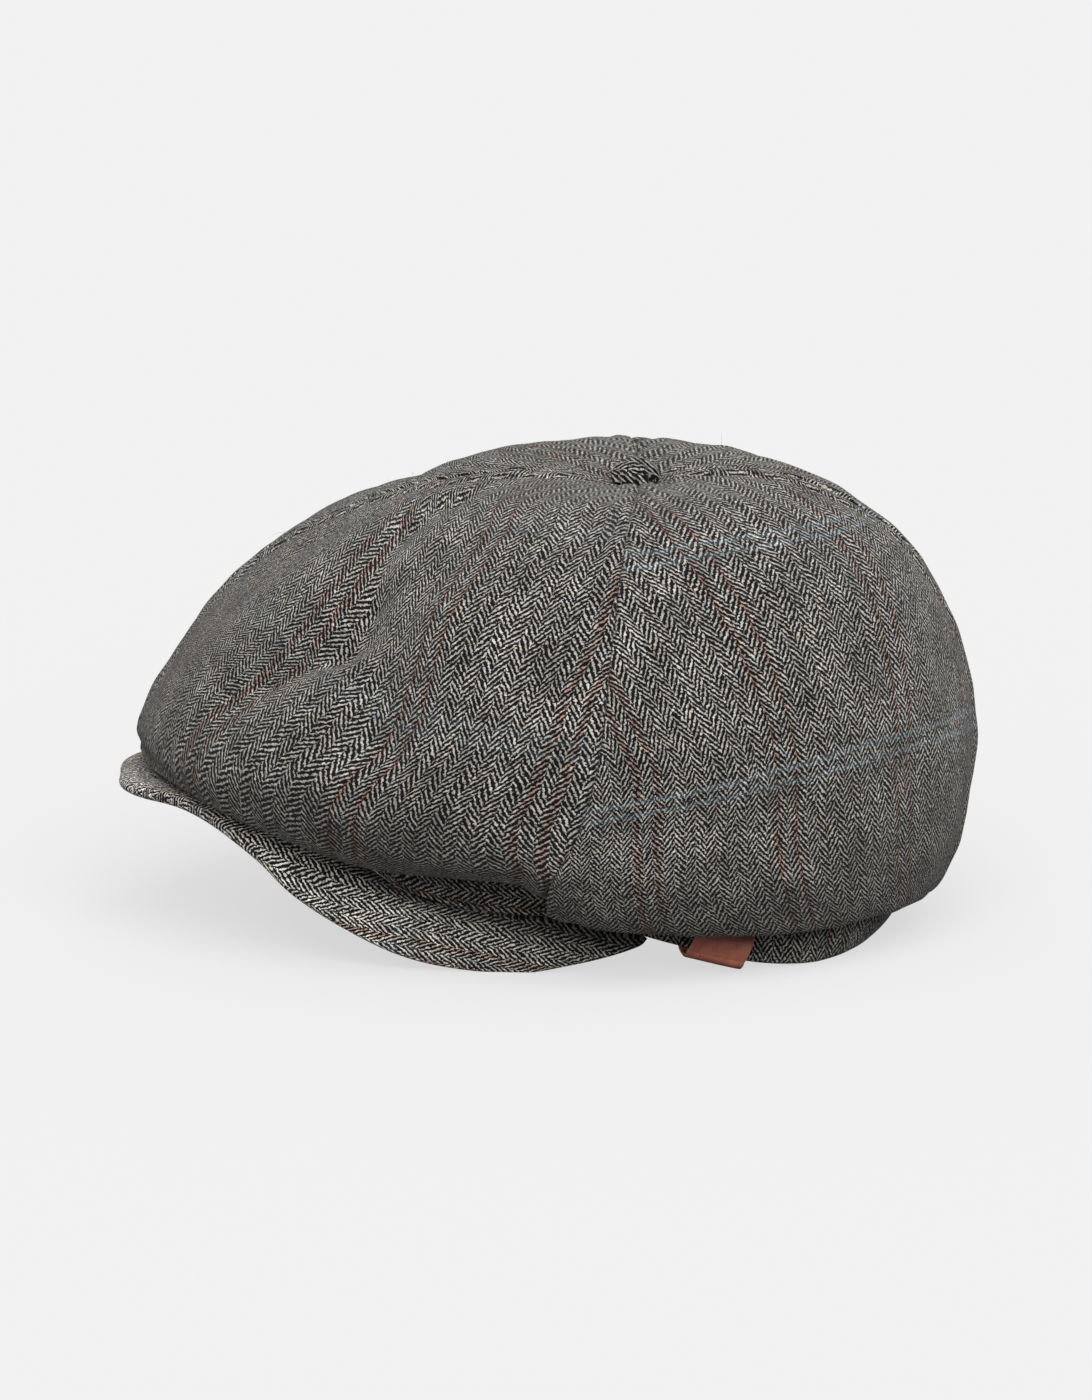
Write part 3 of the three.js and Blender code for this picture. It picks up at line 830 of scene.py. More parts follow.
def leather_group():
    """Group of the leather tab's surface: fine pores, slow changes of tone and paler bare edges.

    Its place is in millimetres across and along the strip, and Half width is half the strip's width.
    """
    colour, number, vector = "NodeSocketColor", "NodeSocketFloat", "NodeSocketVector"
    inputs = [
        ("Place", vector, None),
        ("Hide", colour, (0.2, 0.07, 0.05, 1)),
        ("Bare edge", colour, (0.4, 0.2, 0.14, 1)),
        ("Half width", number, TAB_WIDTH / 2),
    ]
    outputs = [("Color", colour), ("Roughness", number), ("Height", number)]
    group, g, given, end = new_group("Leather", inputs, outputs)
    place = given["Place"]
    tone = g.noise(place, 4, 3.0, 0.6)
    creases = g.noise(g.vector("MULTIPLY", place, (1, 0.25, 1)), 0.7, 3.0, 0.6)
    paler = g.tint(given["Hide"], (1.35, 1.3, 1.25, 1))
    hide = g.mix(g.ramp(tone, 0.3, 0.7), given["Hide"], paler)
    creased = g.tint(hide, (0.55, 0.5, 0.5, 1))
    hide = g.mix(g.ramp(creases, 0.52, 0.7, 0.0, 0.45), hide, creased)
    from_edge = g.math("SUBTRACT", given["Half width"], g.math("ABSOLUTE", g.parts(place)[0]))
    edge = g.ramp(from_edge, 0.1, 0.7, 0.8, 0.0)
    g.put(g.mix(edge, hide, given["Bare edge"]), end.inputs["Color"])
    g.put(g.ramp(tone, 0.3, 0.7, 0.27, 0.42), end.inputs["Roughness"])
    pores = g.node("ShaderNodeTexVoronoi")
    g.put(place, pores.inputs["Vector"])
    fill(pores, {"Scale": 2.2})
    g.put(g.math("MULTIPLY_ADD", creases, 1.2, pores.outputs["Distance"]), end.inputs["Height"])
    return group


def new_material(name):
    """A material with one Principled shader. Returns the material, its graph and the shader."""
    material = bpy.data.materials.new(name)
    material.use_nodes = True
    graph = Graph(material.node_tree)
    shader = material.node_tree.nodes["Principled BSDF"]
    return material, graph, shader


def cloth_place(graph):
    """The piece's own place on its cloth, from its UV map."""
    reader = graph.node("ShaderNodeUVMap", uv_map="Cloth")
    return reader.outputs["UV"]


def add_bump(graph, shader, height, strength, distance):
    """Feed a height into the shader's normal."""
    bump = graph.node("ShaderNodeBump")
    fill(bump, {"Strength": strength, "Distance": distance * MILLIMETRE})
    graph.put(height, bump.inputs["Height"])
    graph.put(bump.outputs["Normal"], shader.inputs["Normal"])


def with_painted_shade(graph, colour):
    """Colour, darker by the painted shade in the piece's Fold attribute."""
    fold = graph.node("ShaderNodeAttribute", attribute_name="Fold").outputs["Fac"]
    return graph.tint(colour, graph.math("SUBTRACT", 1.0, fold))


def tweed_material(
    name, settings, turn=0.0, shift=(0, 0), painted_light_gain=1.0, enlarged=1.0, blue_share=1.0, folded=False,
):
    """Tweed with the cap's yarns. turn and shift place the pattern on a piece, in degrees and millimetres.

    A folded piece is darker where its Fold attribute says, which is painted shade. A brightness above one
    lightens both yarns, which is painted light.
    """
    material, graph, shader = new_material(name)
    weave = graph.node("ShaderNodeGroup")
    weave.node_tree = bpy.data.node_groups.get("Herringbone tweed") or herringbone_group()
    centred = graph.node("ShaderNodeMapping")
    graph.put(cloth_place(graph), centred.inputs["Vector"])
    fill(centred, {
        "Location": (*shift, 0),
        "Rotation": (0, 0, np.radians(turn)),
        "Scale": (1 / enlarged, 1 / enlarged, 1),
    })
    graph.put(centred.outputs[0], weave.inputs["Place"])
    # Both yarns are scaled by the piece's gain, which above one is painted light
    fill(weave, {
        "Light yarn": [x * painted_light_gain for x in settings.light_yarn],
        "Dark yarn": [x * painted_light_gain for x in settings.dark_yarn],
        "Brown line": settings.brown_line,
        "Blue line": settings.blue_line,
        "Column width": settings.column_width,
        "Line pitch": settings.line_pitch,
        "Line slope": settings.line_slope,
        "Softness": settings.softness,
        "Darkness": settings.darkness,
        "Blue share": blue_share,
    })
    colour = weave.outputs["Color"]
    # Painted shade: a folded piece's colour is darkened by its Fold attribute
    graph.put(with_painted_shade(graph, colour) if folded else colour, shader.inputs["Base Color"])
    fill(shader, {
        "Roughness": 0.95,
        "Specular IOR Level": 0.15,
        "Sheen Weight": 0.12,
        "Sheen Roughness": 0.5,
    })
    add_bump(graph, shader, weave.outputs["Height"], strength=0.9, distance=0.35)
    return material


def leather_material(settings):
    """Smooth brown leather with pores, soft gloss and bare cut edges."""
    material, graph, shader = new_material("Leather tab")
    hide = graph.node("ShaderNodeGroup")
    hide.node_tree = bpy.data.node_groups.get("Leather") or leather_group()
    graph.put(cloth_place(graph), hide.inputs["Place"])
    fill(hide, {"Hide": settings.hide, "Bare edge": settings.bare_edge})
    # Painted shade: the tab's colour is darker where its Fold attribute says
    graph.put(with_painted_shade(graph, hide.outputs["Color"]), shader.inputs["Base Color"])
    graph.put(hide.outputs["Roughness"], shader.inputs["Roughness"])
    fill(shader, {"Specular IOR Level": 0.4})
    add_bump(graph, shader, hide.outputs["Height"], strength=0.35, distance=0.2)
    return material


def colour_setting(name, description, default):
    """A colour that can be set."""
    return FloatVectorProperty(
        name=name, description=description, default=default, subtype="COLOR", size=3, min=0, max=1,
    )


class CapClothSettings(PropertyGroup):
    """The yarns of the tweed and the pattern that they are woven in."""

    light_yarn: colour_setting("Light yarn", "Colour of the light yarn", (0.47, 0.458, 0.434))
    dark_yarn: colour_setting("Dark yarn", "Colour of the dark yarn", (0.006, 0.0058, 0.006))
    brown_line: colour_setting("Brown line", "Tint of the brown lines", (0.8, 0.52, 0.43))
    blue_line: colour_setting("Blue line", "Colour of the pale blue lines", (0.42, 0.5, 0.53))
    column_width: FloatProperty(
        name="Column width", description="Width of one column of the herringbone, in millimetres",
        default=3.6, min=1,
    )
    line_pitch: FloatProperty(
        name="Line pitch", description="Step between lines down a column, in millimetres",
        default=2.4, min=0.5,
    )
    line_slope: FloatProperty(
        name="Line slope", description="How far a line climbs for its way across", default=1.4, min=0,
    )
    softness: FloatProperty(
        name="Softness", description="How softly the light and dark yarns meet", default=0.25, min=0.05,
    )
    darkness: FloatProperty(
        name="Darkness", description="How much wider the dark lines are than the light ones", default=0.5,
    )


class CapShapeSettings(PropertyGroup):
    """How finely and how deeply the cloth is shaped."""

    panel_columns: IntProperty(
        name="Panel columns", description="Columns of faces across a crown panel", default=140, min=20,
    )
    panel_rows: IntProperty(
        name="Panel rows", description="Rows of faces down a crown panel", default=176, min=20,
    )
    wrinkle_depth: FloatProperty(
        name="Wrinkle depth", description="Depth of the fine wrinkles, as a share", default=1.0, min=0,
    )
    stray_fibres: IntProperty(
        name="Stray fibres", description="Number of loose wool fibres on the crown", default=90, min=1,
    )


class CapTrimSettings(PropertyGroup):
    """The leather of the tab."""

    hide: colour_setting("Hide", "Colour of the leather", (0.44, 0.15, 0.1))
    bare_edge: colour_setting("Bare edge", "Colour of the leather's cut edges", (0.6, 0.3, 0.2))


class CapStageSettings(PropertyGroup):
    """The floor, the light and the camera."""

    floor_tone: FloatProperty(
        name="Floor tone", description="How pale the floor is",
        default=0.85, min=0, max=1, subtype="FACTOR",
    )
    floor_bounce: FloatProperty(
        name="Floor bounce", description="How much of its light the floor gives back to the cap",
        default=0.19, min=0, max=1, subtype="FACTOR",
    )
    sky_strength: FloatProperty(
        name="Sky strength", description="Strength of the even light", default=0.4, min=0,
    )
    key_strength: FloatProperty(
        name="Key strength", description="Strength of the soft light above the camera", default=2.75, min=0,
    )
    camera_distance: FloatProperty(
        name="Camera distance", description="From the camera to the cap",
        default=5.0, min=0.5, unit="LENGTH",
    )


class CAP_OT_crown(Operator):
    """Make the four cloth panels of the crown"""

    bl_idname = "cap.crown"
    bl_label = "Crown panels"

    def execute(self, context):
        scene = context.scene
        shape = scene.cap_shape
        front = tweed_material("Tweed front panels", scene.cap_cloth, blue_share=0.4)
        back = tweed_material("Tweed rear panels", scene.cap_cloth)
        for place, side, rear in (
            ("front_left", 1, False),
            ("rear_left", 1, True),
            ("rear_right", -1, True),
            ("front_right", -1, False),
        ):
            grid = (shape.panel_columns, shape.panel_rows)
            surfaces = panel_surfaces(side, rear, *grid, shape.wrinkle_depth)
            piece = make_wall(f"panel_{place}_cloth", *surfaces)
            dress(piece, f"crown_panel_{place}", back if rear else front)
        return {"FINISHED"}


def band_surfaces(first, last, upright, columns, rows=26):
    """Faces and place on the cloth of a strip of the band, from the seam down to the rim, between two angles.

    Its half thickness closes as a quarter ellipse, √(1-(1-e/r)²), within r of the rolled lower edge. It
    bulges by a sine of the way down, and at the back it leans in by a power of that way. The weave's columns
    stand upright or run along the strip. The front strip's inner face has a lip, which reaches down behind
    the steep part of the peak's inner edge.
    """
    roll, seam_allowance = 1.6 if upright else 0.5, 1.2
    closer_down, bulge, lean_power, least = 1.7, 0.5, 2.5, 1e-4
    wave, wavelength, stretched = 0.25, 23, 0.4
    lean_angles, lip_starts, lip_ends = (118, 170), (20, 35), (60, 75)
    lip_thickness, lip_fade = 0.9, 2
    angle = np.linspace(first, last, columns + 1)[None, :]
    rim = rim_height(angle)
    width = seam_height(angle) - rim
    height = rim + width * (1 - np.linspace(0, 1, rows)[:, None]) ** closer_down
    from_rim = height - rim
    down = 1 - np.clip(from_rim / width, 0, 1)
    beside = np.abs(wrapped(angle))
    lean = REAR_LEAN * smoothstep(*lean_angles, beside) * down**lean_power
    waves = wave * ripple(np.radians(angle) * OPENING_WIDTH / 2, from_rim * stretched, wavelength, seed=17)
    middle = bulge * np.sin(np.pi * down) + waves - lean - BAND_THICKNESS / 2
    closing = np.sqrt(1 - (1 - np.clip(from_rim / roll, 0, 1)) ** 2 + least)
    half = BAND_THICKNESS / 2 * closing
    lip = 0 if upright else smoothstep(*lip_starts, beside) * (1 - smoothstep(*lip_ends, beside))
    inner_half = np.maximum(half, lip_thickness * lip)
    inner_height = height - lip * np.clip(1 - from_rim / lip_fade, 0, 1)
    faces = []
    for outward, level in ((middle + half, height), (middle - inner_half, inner_height)):
        faces.append(np.concatenate([opening_point(angle, outward), level[..., None]], -1))
    round_length = np.cumsum(np.linalg.norm(np.diff(faces[0][-1], axis=0), axis=-1))
    round_length = np.broadcast_to(np.append(0, round_length), height.shape)
    places = [round_length, from_rim] if upright else [from_rim + seam_allowance, round_length]
    return faces[0], faces[1], np.stack(places, -1)


class CAP_OT_band(Operator):
    """Make the cloth band round the head opening, a strip in front and a longer one behind"""

    bl_idname = "cap.band"
    bl_label = "Band"

    def execute(self, context):
        material = tweed_material("Tweed band", context.scene.cap_cloth, shift=(0, 30))
        meet, gap = 86, 0.1
        for name, first, last, upright in (
            ("front", -meet + gap, meet - gap, False),
            ("rear", meet + gap, 360 - meet - gap, True),
        ):
            piece = make_wall(f"band_{name}_cloth", *band_surfaces(first, last, upright, columns=200))
            dress(piece, "band", material)
        return {"FINISHED"}


def peak_inner_edge(angle, outward):
    """Point of the peak's inner edge under the band, before room is made for its thickness."""
    flat = opening_point(angle, outward)
    return np.concatenate([flat, rim_height(angle)[..., None]], -1)


def peak_outer_edge(angle):
    """Point of the peak's outer edge, half way through its thickness."""
    beside = np.abs(angle)
    tip = OPENING_SETBACK - OPENING_LENGTH / 2 - PEAK_REACH
    end = opening_point(PEAK_ROWS["angle"][-1], 0)[..., 1]
    x = np.sign(angle) * follow(PEAK_ROWS, "angle", "side", beside) * OPENING_WIDTH / 2
    y = tip + (end - tip) * follow(PEAK_ROWS, "angle", "back", beside)
    z = np.maximum(PEAK_TIP_HEIGHT * follow(PEAK_ROWS, "angle", "height", beside), LOBE_RISE)
    return np.stack([x, y, z], -1)


def peak_surfaces(columns=280, rows=64):
    """Upper and lower faces of the peak, and the place on its cloth.

    The middle face runs from the inner to the outer edge, cambered by c·(27/4)·s²·(1-s) along the normal.
    Half the thickness closes as a quarter ellipse, √(1-s²), over the rolled edges. The inner edge hangs half
    the thickness under the band where the peak lies level, and is lifted to the band where it is steep.
    """
    roll_share, inner_roll_share, roll_angle, almost = 0.05, 0.015, 5, 0.999
    seat, steep_lift = 0.15, 0.95
    wave, wavelength, wave_full, edge_start = 0.18, 26, 0.2, 0.5
    angle = PEAK_END_ANGLE * (2 * column_shares(columns)[None, :] - 1)
    across = column_shares(rows - 1)[:, None]
    along = peak_inner_edge(angle + TURN_STEP, 0) - peak_inner_edge(angle - TURN_STEP, 0)
    normal = -unit(np.cross(along, peak_outer_edge(angle) - peak_inner_edge(angle, 0)))
    level = np.abs(normal[..., 2])
    ends = np.clip((np.abs(angle) - PEAK_END_ANGLE + roll_angle) / roll_angle, 0, almost)
    half = PEAK_THICKNESS / 2
    tuck = STEEP_TUCK + (1 - STEEP_TUCK) * level**2
    inner = peak_inner_edge(angle, -BAND_THICKNESS * tuck)
    inner[..., 2] -= seat - steep_lift * (1 - level) + half * level
    outer = peak_outer_edge(angle)
    middle = inner + (outer - inner) * across[..., None]
    camber = PEAK_CAMBER * across**2 * (1 - across) * 27 / 4 * level
    middle = middle + normal * camber[..., None]
    outermost = np.clip((across - 1 + roll_share) / roll_share, 0, almost)
    innermost = np.clip(1 - across / inner_roll_share, 0, almost)
    rolled = np.sqrt((1 - np.maximum(outermost, innermost) ** 2) * (1 - ends**2))
    waves = ripple(middle[..., 0], middle[..., 1], wavelength, seed=23) * smoothstep(0, wave_full, across)
    upper = middle + normal * (half * rolled + wave * waves)[..., None]
    lower = middle - normal * (half * rolled - wave * waves)[..., None]
    for face in (upper, lower):
        face[..., 2] = np.maximum(face[..., 2], FLOOR_CLEARANCE)
    past_edge = half * (1 - rolled) * smoothstep(edge_start, 1, across)
    return upper, lower, peak_cloth(angle, middle + unit(outer - inner) * past_edge[..., None])


def peak_cloth(angle, middle):
    """Place on the peak's cloth: u = w·cos(d) - y·sin(d), v = y·cos(d) + w·sin(d).

    w is the length across the peak, over its bend and down its sides, and y the way back. The cloth lies
    straight at the nose, and its columns slant down towards the back by d on the sides.
    """
    pivot, slant, slant_angles, side_angles = -72, 13, (15, 58), (8, 40)
    edge = middle[:1]
    steps = np.hypot(np.diff(edge[..., 0], axis=1), np.diff(edge[..., 2], axis=1))
    along_edge = np.concatenate([np.zeros((1, 1)), np.cumsum(steps, axis=1)], axis=1)
    along_edge = np.abs(along_edge - along_edge[:, [angle.size // 2]])
    drop = np.hypot(middle[..., 0] - edge[..., 0], middle[..., 2] - edge[..., 2])
    width = along_edge + drop * smoothstep(*side_angles, np.abs(angle))
    turned = np.radians(slant) * smoothstep(*slant_angles, np.abs(angle))
    back = middle[..., 1] - pivot
    u = np.sign(angle) * (width * np.cos(turned) - back * np.sin(turned))
    return np.stack([u, back * np.cos(turned) + width * np.sin(turned)], -1)


def paint_fold_shade(piece, outer, reach, depth):
    """Keep depth·exp(-(d/reach)²) as the attribute Fold, the painted shade, d being the way from the outer
    face's first row.
    """
    from_fold = np.linalg.norm(outer - outer[:1], axis=-1)
    share = np.tile((depth * np.exp(-((from_fold / reach) ** 2))).ravel(), 2)
    piece.data.attributes.new("Fold", "FLOAT", "POINT").data.foreach_set("value", share.astype(np.float32))


class CAP_OT_peak(Operator):
    """Make the stiff, cloth-covered peak"""

    bl_idname = "cap.peak"
    bl_label = "Peak"

    def execute(self, context):
        upper, lower, cloth = peak_surfaces()
        piece = make_wall("peak_cloth", upper, lower, cloth)
        # Painted shade on the peak beside the band, where the crown above shades it, 4 mm wide at the nose
        # and 11 mm on the sides
        beside = np.abs(np.linspace(-PEAK_END_ANGLE, PEAK_END_ANGLE, upper.shape[1]))
        nose_shade_reach, side_shade_reach, side_angles = 4, 11, (15, 45)
        reach = nose_shade_reach + (side_shade_reach - nose_shade_reach) * smoothstep(*side_angles, beside)
        paint_fold_shade(piece, upper, reach, depth=0.82)
        # The peak's yarns are made 2.4 times lighter, painted light for the light that the peak catches
        material = tweed_material(
            "Tweed peak", context.scene.cap_cloth, shift=(12, 36), painted_light_gain=2.4, enlarged=1.05,
            blue_share=0.5, folded=True,
        )
        dress(piece, "peak", material)
        return {"FINISHED"}


def button_surfaces(columns=160, rows=40):
    """Faces and place on the cloth of the covered button: a gathered dome over a shallow, rising underside.

    Height is t·(1-r^p)^(1/p) over the radius share r, and the gathers pull the radius in by
    g·r⁶·(1+cos(n·a))/2, uneven from fold to fold. One notch, exp(-((a-b)/w)²) round its angle b, cuts in
    deeper and sinks lower than the gathers. The cloth's place shears with the height, so that the weave goes
    on down the sides.
    """
    power, gather, sides, puff, least = 2, 0.16, 0.12, 1.7, 1e-6
    crease_depth, underside, shear, tightened = 0.55, 0.9, (-0.6, 0.9), 0.9
    notch_angle, notch_width, notch_pull, notch_depth = np.radians(142), 0.14, 0.22, 1.1
    radius = BUTTON_DIAMETER / 2
    angle = np.radians(np.linspace(0, 360, columns + 1))[None, :]
    share = np.sin(np.linspace(1e-3, 1, rows) * np.pi / 2)[:, None]
    uneven = 1 + 0.5 * np.sin(3 * angle + 0.7) + 0.3 * np.sin(5 * angle + 2)
    pleat = (1 + np.cos(BUTTON_FOLDS * angle + 0.8 * np.sin(2 * angle))) / 2
    notch = np.exp(-(((angle - notch_angle) / notch_width) ** 2))
    pull = 1 - gather * uneven * pleat * share**6 - notch_pull * notch * share**3
    dome = (1 - share**power + least) ** (1 / power)
    crease = crease_depth * pleat * uneven * share**1.5 * (1 - share**4)
    sunk = notch_depth * notch * share**2 * (1 - share**6)
    top = BUTTON_THICKNESS * (sides + (1 - sides) * dome) * puff - crease - sunk
    base = BUTTON_THICKNESS * sides * (1 - dome) * underside
    x = radius * share * pull * np.sin(angle)
    y = BUTTON_SETBACK - radius * share * pull * np.cos(angle)
    seat = CROWN_HEIGHT * CROWN_RINGS["height_front"][1] + SEWN_GAP
    upper = np.stack([x, y, seat + top], -1)
    lower = np.stack([x, y, seat + np.broadcast_to(base, x.shape)], -1)
    cloth = np.stack([x + shear[0] * top, y + shear[1] * top], -1) * tightened
    return upper, lower, cloth


class CAP_OT_button(Operator):
    """Make the covered button on top of the crown"""

    bl_idname = "cap.button"
    bl_label = "Covered button"

    def execute(self, context):
        upper, lower, cloth = button_surfaces()
        piece = make_wall("button_cloth", upper[:, ::-1], lower[:, ::-1], cloth[:, ::-1], closed=True)
        material = tweed_material("Tweed button", context.scene.cap_cloth, turn=35, enlarged=1.3)
        dress(piece, "top_button", material)
        return {"FINISHED"}


def tab_surfaces(columns=44):
    """Faces of the tab, a strip folded round the band's lower edge, and the place on its leather.

    The strip's line is a half ellipse below two upright legs. Its outer leg leans out by a power of a sine,
    and its thickness is laid off along its normal. The strip is folded a little askew, so that it slips
    forward by its skew on the way down and on behind the band. It is drawn as wide as it shows, and its
    leather is placed by the tab's named width.
    """
    outer_room, bulge, bulge_share, drop, shown_width = 0.5, 3.2, 0.8, 1.6, 18.8
    skew, level, slip_down, edge_share, almost = 6.5, 0.45, 0.75, 0.06, 0.99
    leg_rows, fold_rows = 25, 40
    half_angle = np.degrees(shown_width / OPENING_LENGTH)
    angle = np.linspace(TAB_ANGLE - half_angle, TAB_ANGLE + half_angle, columns + 1)[None, :]
    reach_out = SEWN_GAP + outer_room
    reach_in = BAND_THICKNESS + SEWN_GAP
    half = (reach_out + reach_in) / 2
    centre = (reach_out - reach_in) / 2
    turn = np.linspace(0, np.pi, fold_rows)
    leg = np.linspace(TAB_RISE, 0, leg_rows + 1)[:-1]
    down = 1 - leg / TAB_RISE
    lean = bulge * np.sin(np.pi * down * bulge_share) ** bulge_share
    fold = centre + half * np.cos(turn) + lean[-1] * (1 + np.cos(turn)) / 2
    outward = np.concatenate([reach_out + lean, fold, np.full(leg_rows, -reach_in)])
    up = np.concatenate([leg, -drop * np.sin(turn), leg[::-1]])
    slip_under = slip_down + (1 - slip_down) * turn / np.pi
    slip = np.concatenate([slip_down * down, slip_under, np.ones(leg_rows)])
    angle = angle - np.degrees(2 * skew * (slip - level) / OPENING_LENGTH)[:, None]
    path = np.stack([outward, up], -1)
    step = np.gradient(path, axis=0)
    normal = unit(np.stack([-step[:, 1], step[:, 0]], -1))
    to_edge = np.abs(np.linspace(-1, 1, columns + 1)) - 1 + edge_share
    rounding = np.sqrt(1 - np.clip(to_edge / edge_share, 0, almost) ** 2)
    length = np.append(0, np.cumsum(np.linalg.norm(np.diff(path, axis=0), axis=-1)))
    faces = []
    for side in (1, 0):
        room = TAB_THICKNESS * (0.5 + (side - 0.5) * rounding)[None, :]
        out = path[:, :1] + normal[:, :1] * room
        lifted = path[:, 1:] + normal[:, 1:] * room
        flat = opening_point(angle, out)
        faces.append(np.concatenate([flat, (rim_height(angle) + lifted)[..., None]], -1))
    across = np.linspace(-TAB_WIDTH / 2, TAB_WIDTH / 2, columns + 1)[None, :]
    cloth = np.stack(np.broadcast_arrays(across, length[:, None]), -1)
    return faces[0], faces[1], cloth


class CAP_OT_tab(Operator):
    """Make the leather tab folded round the band"""

    bl_idname = "cap.tab"
    bl_label = "Leather tab"

    def execute(self, context):
        outer, inner, cloth = tab_surfaces()
        piece = make_wall("leather_tab_strip", outer, inner, cloth)
        # Painted shadow at the top of the tab's outer face, where the crown shades it
        paint_fold_shade(piece, outer, reach=6.5, depth=0.65)
        dress(piece, "leather_tab", leather_material(context.scene.cap_trim))
        return {"FINISHED"}


def fibre_points(count, steps=7, sides=4):
    """Points of loose fibres, each a thin tapering tube along base + d·L·t + b·L·t².

    They are rooted under the cloth at seeded places of the crown, in directions between its normal and
    chance.
    """
    root, radius, taper, places, lengths = 0.8, 0.05, 0.7, (0.12, 0.62), (2.5, 8)
    upright, aside, curl = 0.7, 0.9, 0.5
    chance = np.random.default_rng(41)
    angle = chance.uniform(0, 360, count)
    along = chance.uniform(*places, count)
    outward = crown_normal(angle, along)
    base = smooth_crown(angle, along) - root * outward
    lean = unit(chance.normal(size=(count, 3)))
    heading = unit(upright * outward + aside * lean)
    bend = curl * (unit(chance.normal(size=(count, 3))) - outward)
    length = chance.uniform(*lengths, count)[:, None, None]
    share = np.linspace(0, 1, steps)[None, :, None]
    line = base[:, None] + length * (heading[:, None] * share + bend[:, None] * share**2)
    first = unit(np.cross(heading, [0.3, 0.5, 0.8]))
    second = np.cross(heading, first)
    turn = np.linspace(0, 2 * np.pi, sides, endpoint=False)
    rings = first[:, None, None] * np.cos(turn)[:, None] + second[:, None, None] * np.sin(turn)[:, None]
    thickness = radius * (1 - taper * share[..., None])
    return (line[:, :, None] + rings * thickness).reshape(count, steps * sides, 3)


def fibre_mesh(count, steps=7, sides=4):
    """Points, faces and places on the cloth of all loose fibres, with both ends closed."""
    points = fibre_points(count, steps, sides)
    step, side = np.meshgrid(np.arange(steps - 1), np.arange(sides), indexing="ij")
    step, side = step.ravel(), side.ravel()
    beside = (side + 1) % sides
    near, far = step * sides, (step + 1) * sides
    walls = np.stack([near + side, near + beside, far + beside, far + side], -1)
    foot = np.array([[3, 2, 1, 0]])
    tip = (steps - 1) * sides + np.array([[0, 1, 2, 3]])
    one = np.concatenate([walls, foot, tip])
    faces = (one[None] + np.arange(count)[:, None, None] * steps * sides).reshape(-1, 4)
    flat = points.reshape(-1, 3)
    return flat, faces, flat[faces][..., :2]


class CAP_OT_fibres(Operator):
    """Make the loose wool fibres that stand off the crown"""

    bl_idname = "cap.fibres"
    bl_label = "Stray fibres"

    def execute(self, context):
        piece = make_object("stray_fibres", *fibre_mesh(context.scene.cap_shape.stray_fibres))
        material, _, shader = new_material("Loose wool")
        fill(shader, {"Base Color": (0.42, 0.4, 0.37), "Roughness": 0.9})
        dress(piece, None, material)
        return {"FINISHED"}


def add_sun(name, toward, spread, strength):
    """A soft sun, which lights the whole stage alike, from a direction and over an angle in degrees."""
    lamp = bpy.data.lights.new(name, "SUN")
    lamp.energy = strength
    lamp.angle = np.radians(spread)
    made = bpy.data.objects.new(name, lamp)
    made.rotation_euler = Vector(toward).to_track_quat("Z", "Y").to_euler()
    bpy.context.scene.collection.objects.link(made)


def add_floor(settings, reach=9.0):
    """The pale floor. What the camera sees of it is for the most part its own light, so its shadow is faint.

    The cap gets less light back from it than the camera does.
    """
    own_light, gain = 0.72, 1.06
    corners = [(-reach, -reach, 0), (reach, -reach, 0), (reach, reach, 0), (-reach, reach, 0)]
    mesh = bpy.data.meshes.new("floor")
    mesh.from_pydata(corners, [], [(0, 1, 2, 3)])
    floor = bpy.data.objects.new("floor", mesh)
    bpy.context.scene.collection.objects.link(floor)
    material, graph, shader = new_material("Pale floor")
    seen = graph.node("ShaderNodeLightPath").outputs["Is Camera Ray"]
    pale = (*[settings.floor_tone * (1 - own_light)] * 3, 1)
    dim = (*[settings.floor_bounce] * 3, 1)
    graph.put(graph.mix(seen, dim, pale), shader.inputs["Base Color"])
    glow = graph.math("MULTIPLY", seen, settings.floor_tone * own_light * gain)
    graph.put(glow, shader.inputs["Emission Strength"])
    fill(shader, {"Roughness": 1, "Specular IOR Level": 0, "Emission Color": (1, 1, 1)})
    mesh.materials.append(material)


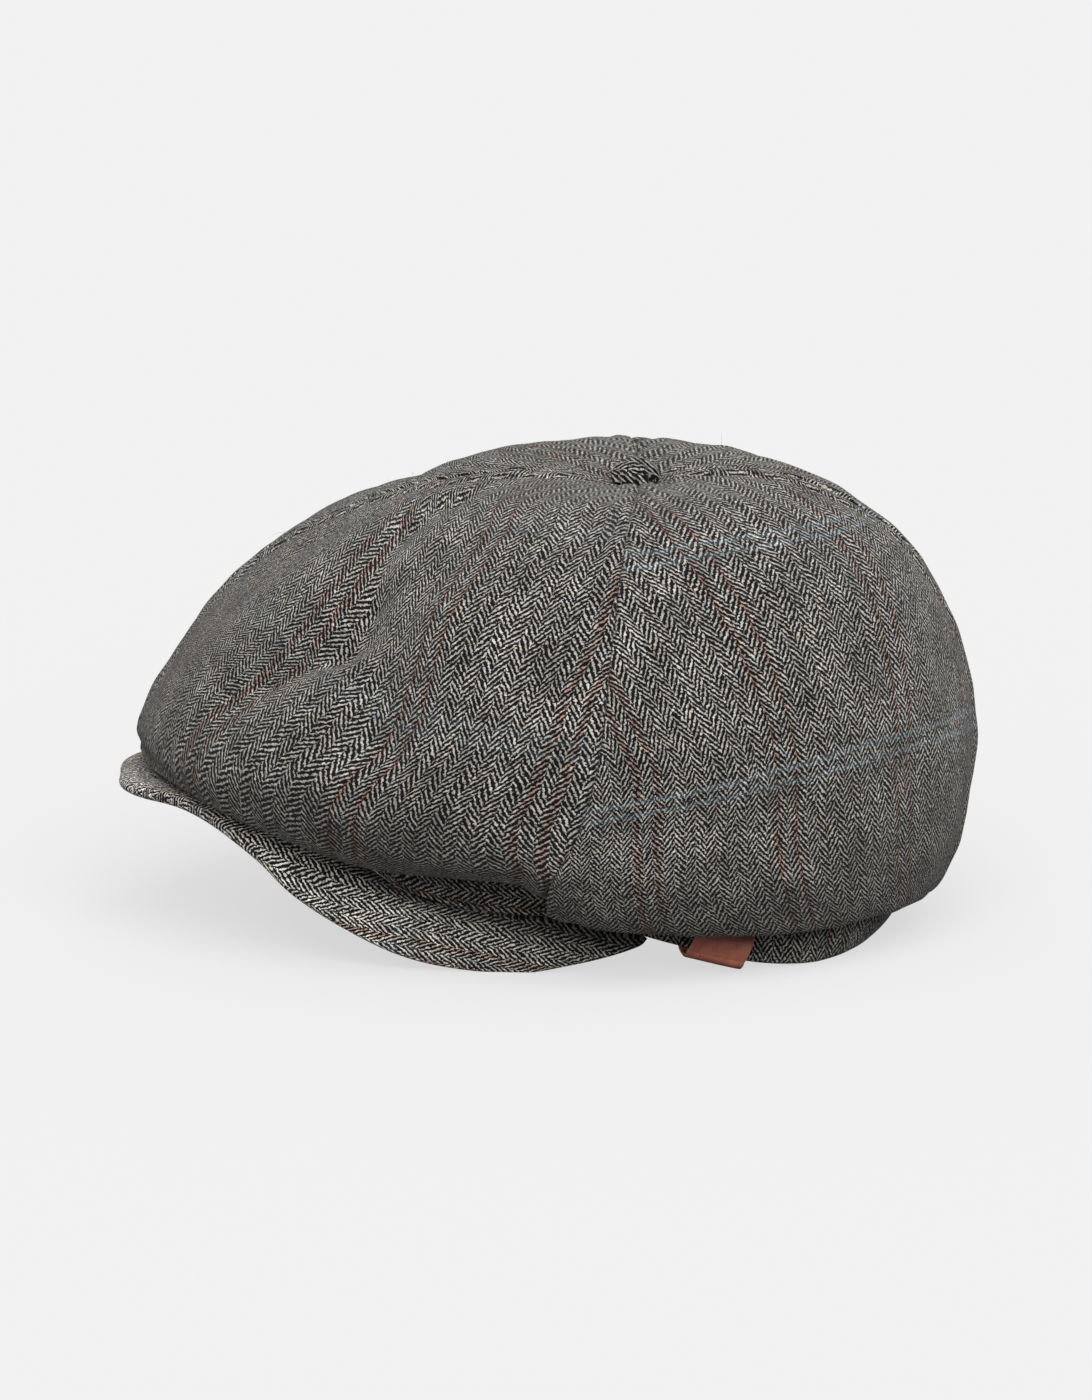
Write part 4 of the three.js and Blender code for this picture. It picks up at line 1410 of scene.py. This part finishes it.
class CAP_OT_stage(Operator):
    """Make the pale floor, the soft light and the camera at the photograph's angle"""

    bl_idname = "cap.stage"
    bl_label = "Stage"

    def execute(self, context):
        scene = context.scene
        settings = scene.cap_stage
        add_floor(settings)
        world = bpy.data.worlds.new("Soft studio")
        world.use_nodes = True
        background = world.node_tree.nodes["Background"]
        fill(background, {"Color": (1, 1, 1), "Strength": settings.sky_strength})
        scene.world = world
        add_sun("key", toward=(0.95, 0.14, 0.88), spread=50, strength=settings.key_strength)
        self.add_camera(scene, settings)
        scene.view_settings.view_transform = "Standard"
        return {"FINISHED"}

    def add_camera(self, scene, settings):
        """The photograph's view: from the wearer's left, a little from above, with a long lens."""
        elevation = np.radians(12)
        picture_height = 0.46667
        sensor = 36
        target = Vector((0, 0, 0.0765))
        data = bpy.data.cameras.new("photo")
        data.sensor_width = sensor
        data.lens = sensor * settings.camera_distance / picture_height
        camera = bpy.data.objects.new("photo", data)
        back = Vector((np.cos(elevation), 0, np.sin(elevation)))
        camera.location = target + back * settings.camera_distance
        camera.rotation_euler = (-back).to_track_quat("-Z", "Y").to_euler()
        scene.collection.objects.link(camera)
        scene.camera = camera


class CAP_PT_sidebar(Panel):
    """The cap's pieces and settings in the sidebar."""

    bl_label = "Tweed flat cap"
    bl_idname = "CAP_PT_sidebar"
    bl_space_type = "VIEW_3D"
    bl_region_type = "UI"
    bl_category = "Cap"

    def draw(self, context):
        for operator in OPERATORS:
            self.layout.operator(operator.bl_idname)
        for name in SETTINGS:
            box = self.layout.box()
            group = getattr(context.scene, name)
            for key in group.__annotations__:
                box.prop(group, key)


OPERATORS = (
    CAP_OT_crown,
    CAP_OT_band,
    CAP_OT_peak,
    CAP_OT_button,
    CAP_OT_tab,
    CAP_OT_fibres,
    CAP_OT_stage,
)
SETTINGS = {
    "cap_cloth": CapClothSettings,
    "cap_shape": CapShapeSettings,
    "cap_trim": CapTrimSettings,
    "cap_stage": CapStageSettings,
}


def register():
    """Register the settings, the operators and the sidebar panel."""
    for kind in (*SETTINGS.values(), *OPERATORS, CAP_PT_sidebar):
        bpy.utils.register_class(kind)
    for name, kind in SETTINGS.items():
        setattr(bpy.types.Scene, name, PointerProperty(type=kind))


def unregister():
    """Remove what register adds."""
    for name in SETTINGS:
        delattr(bpy.types.Scene, name)
    for kind in reversed((*SETTINGS.values(), *OPERATORS, CAP_PT_sidebar)):
        bpy.utils.unregister_class(kind)


def main():
    """Build the cap and its stage."""
    register()
    bpy.ops.cap.crown()
    bpy.ops.cap.band()
    bpy.ops.cap.peak()
    bpy.ops.cap.button()
    bpy.ops.cap.tab()
    bpy.ops.cap.fibres()
    bpy.ops.cap.stage()


if __name__ == "__main__":
    main()
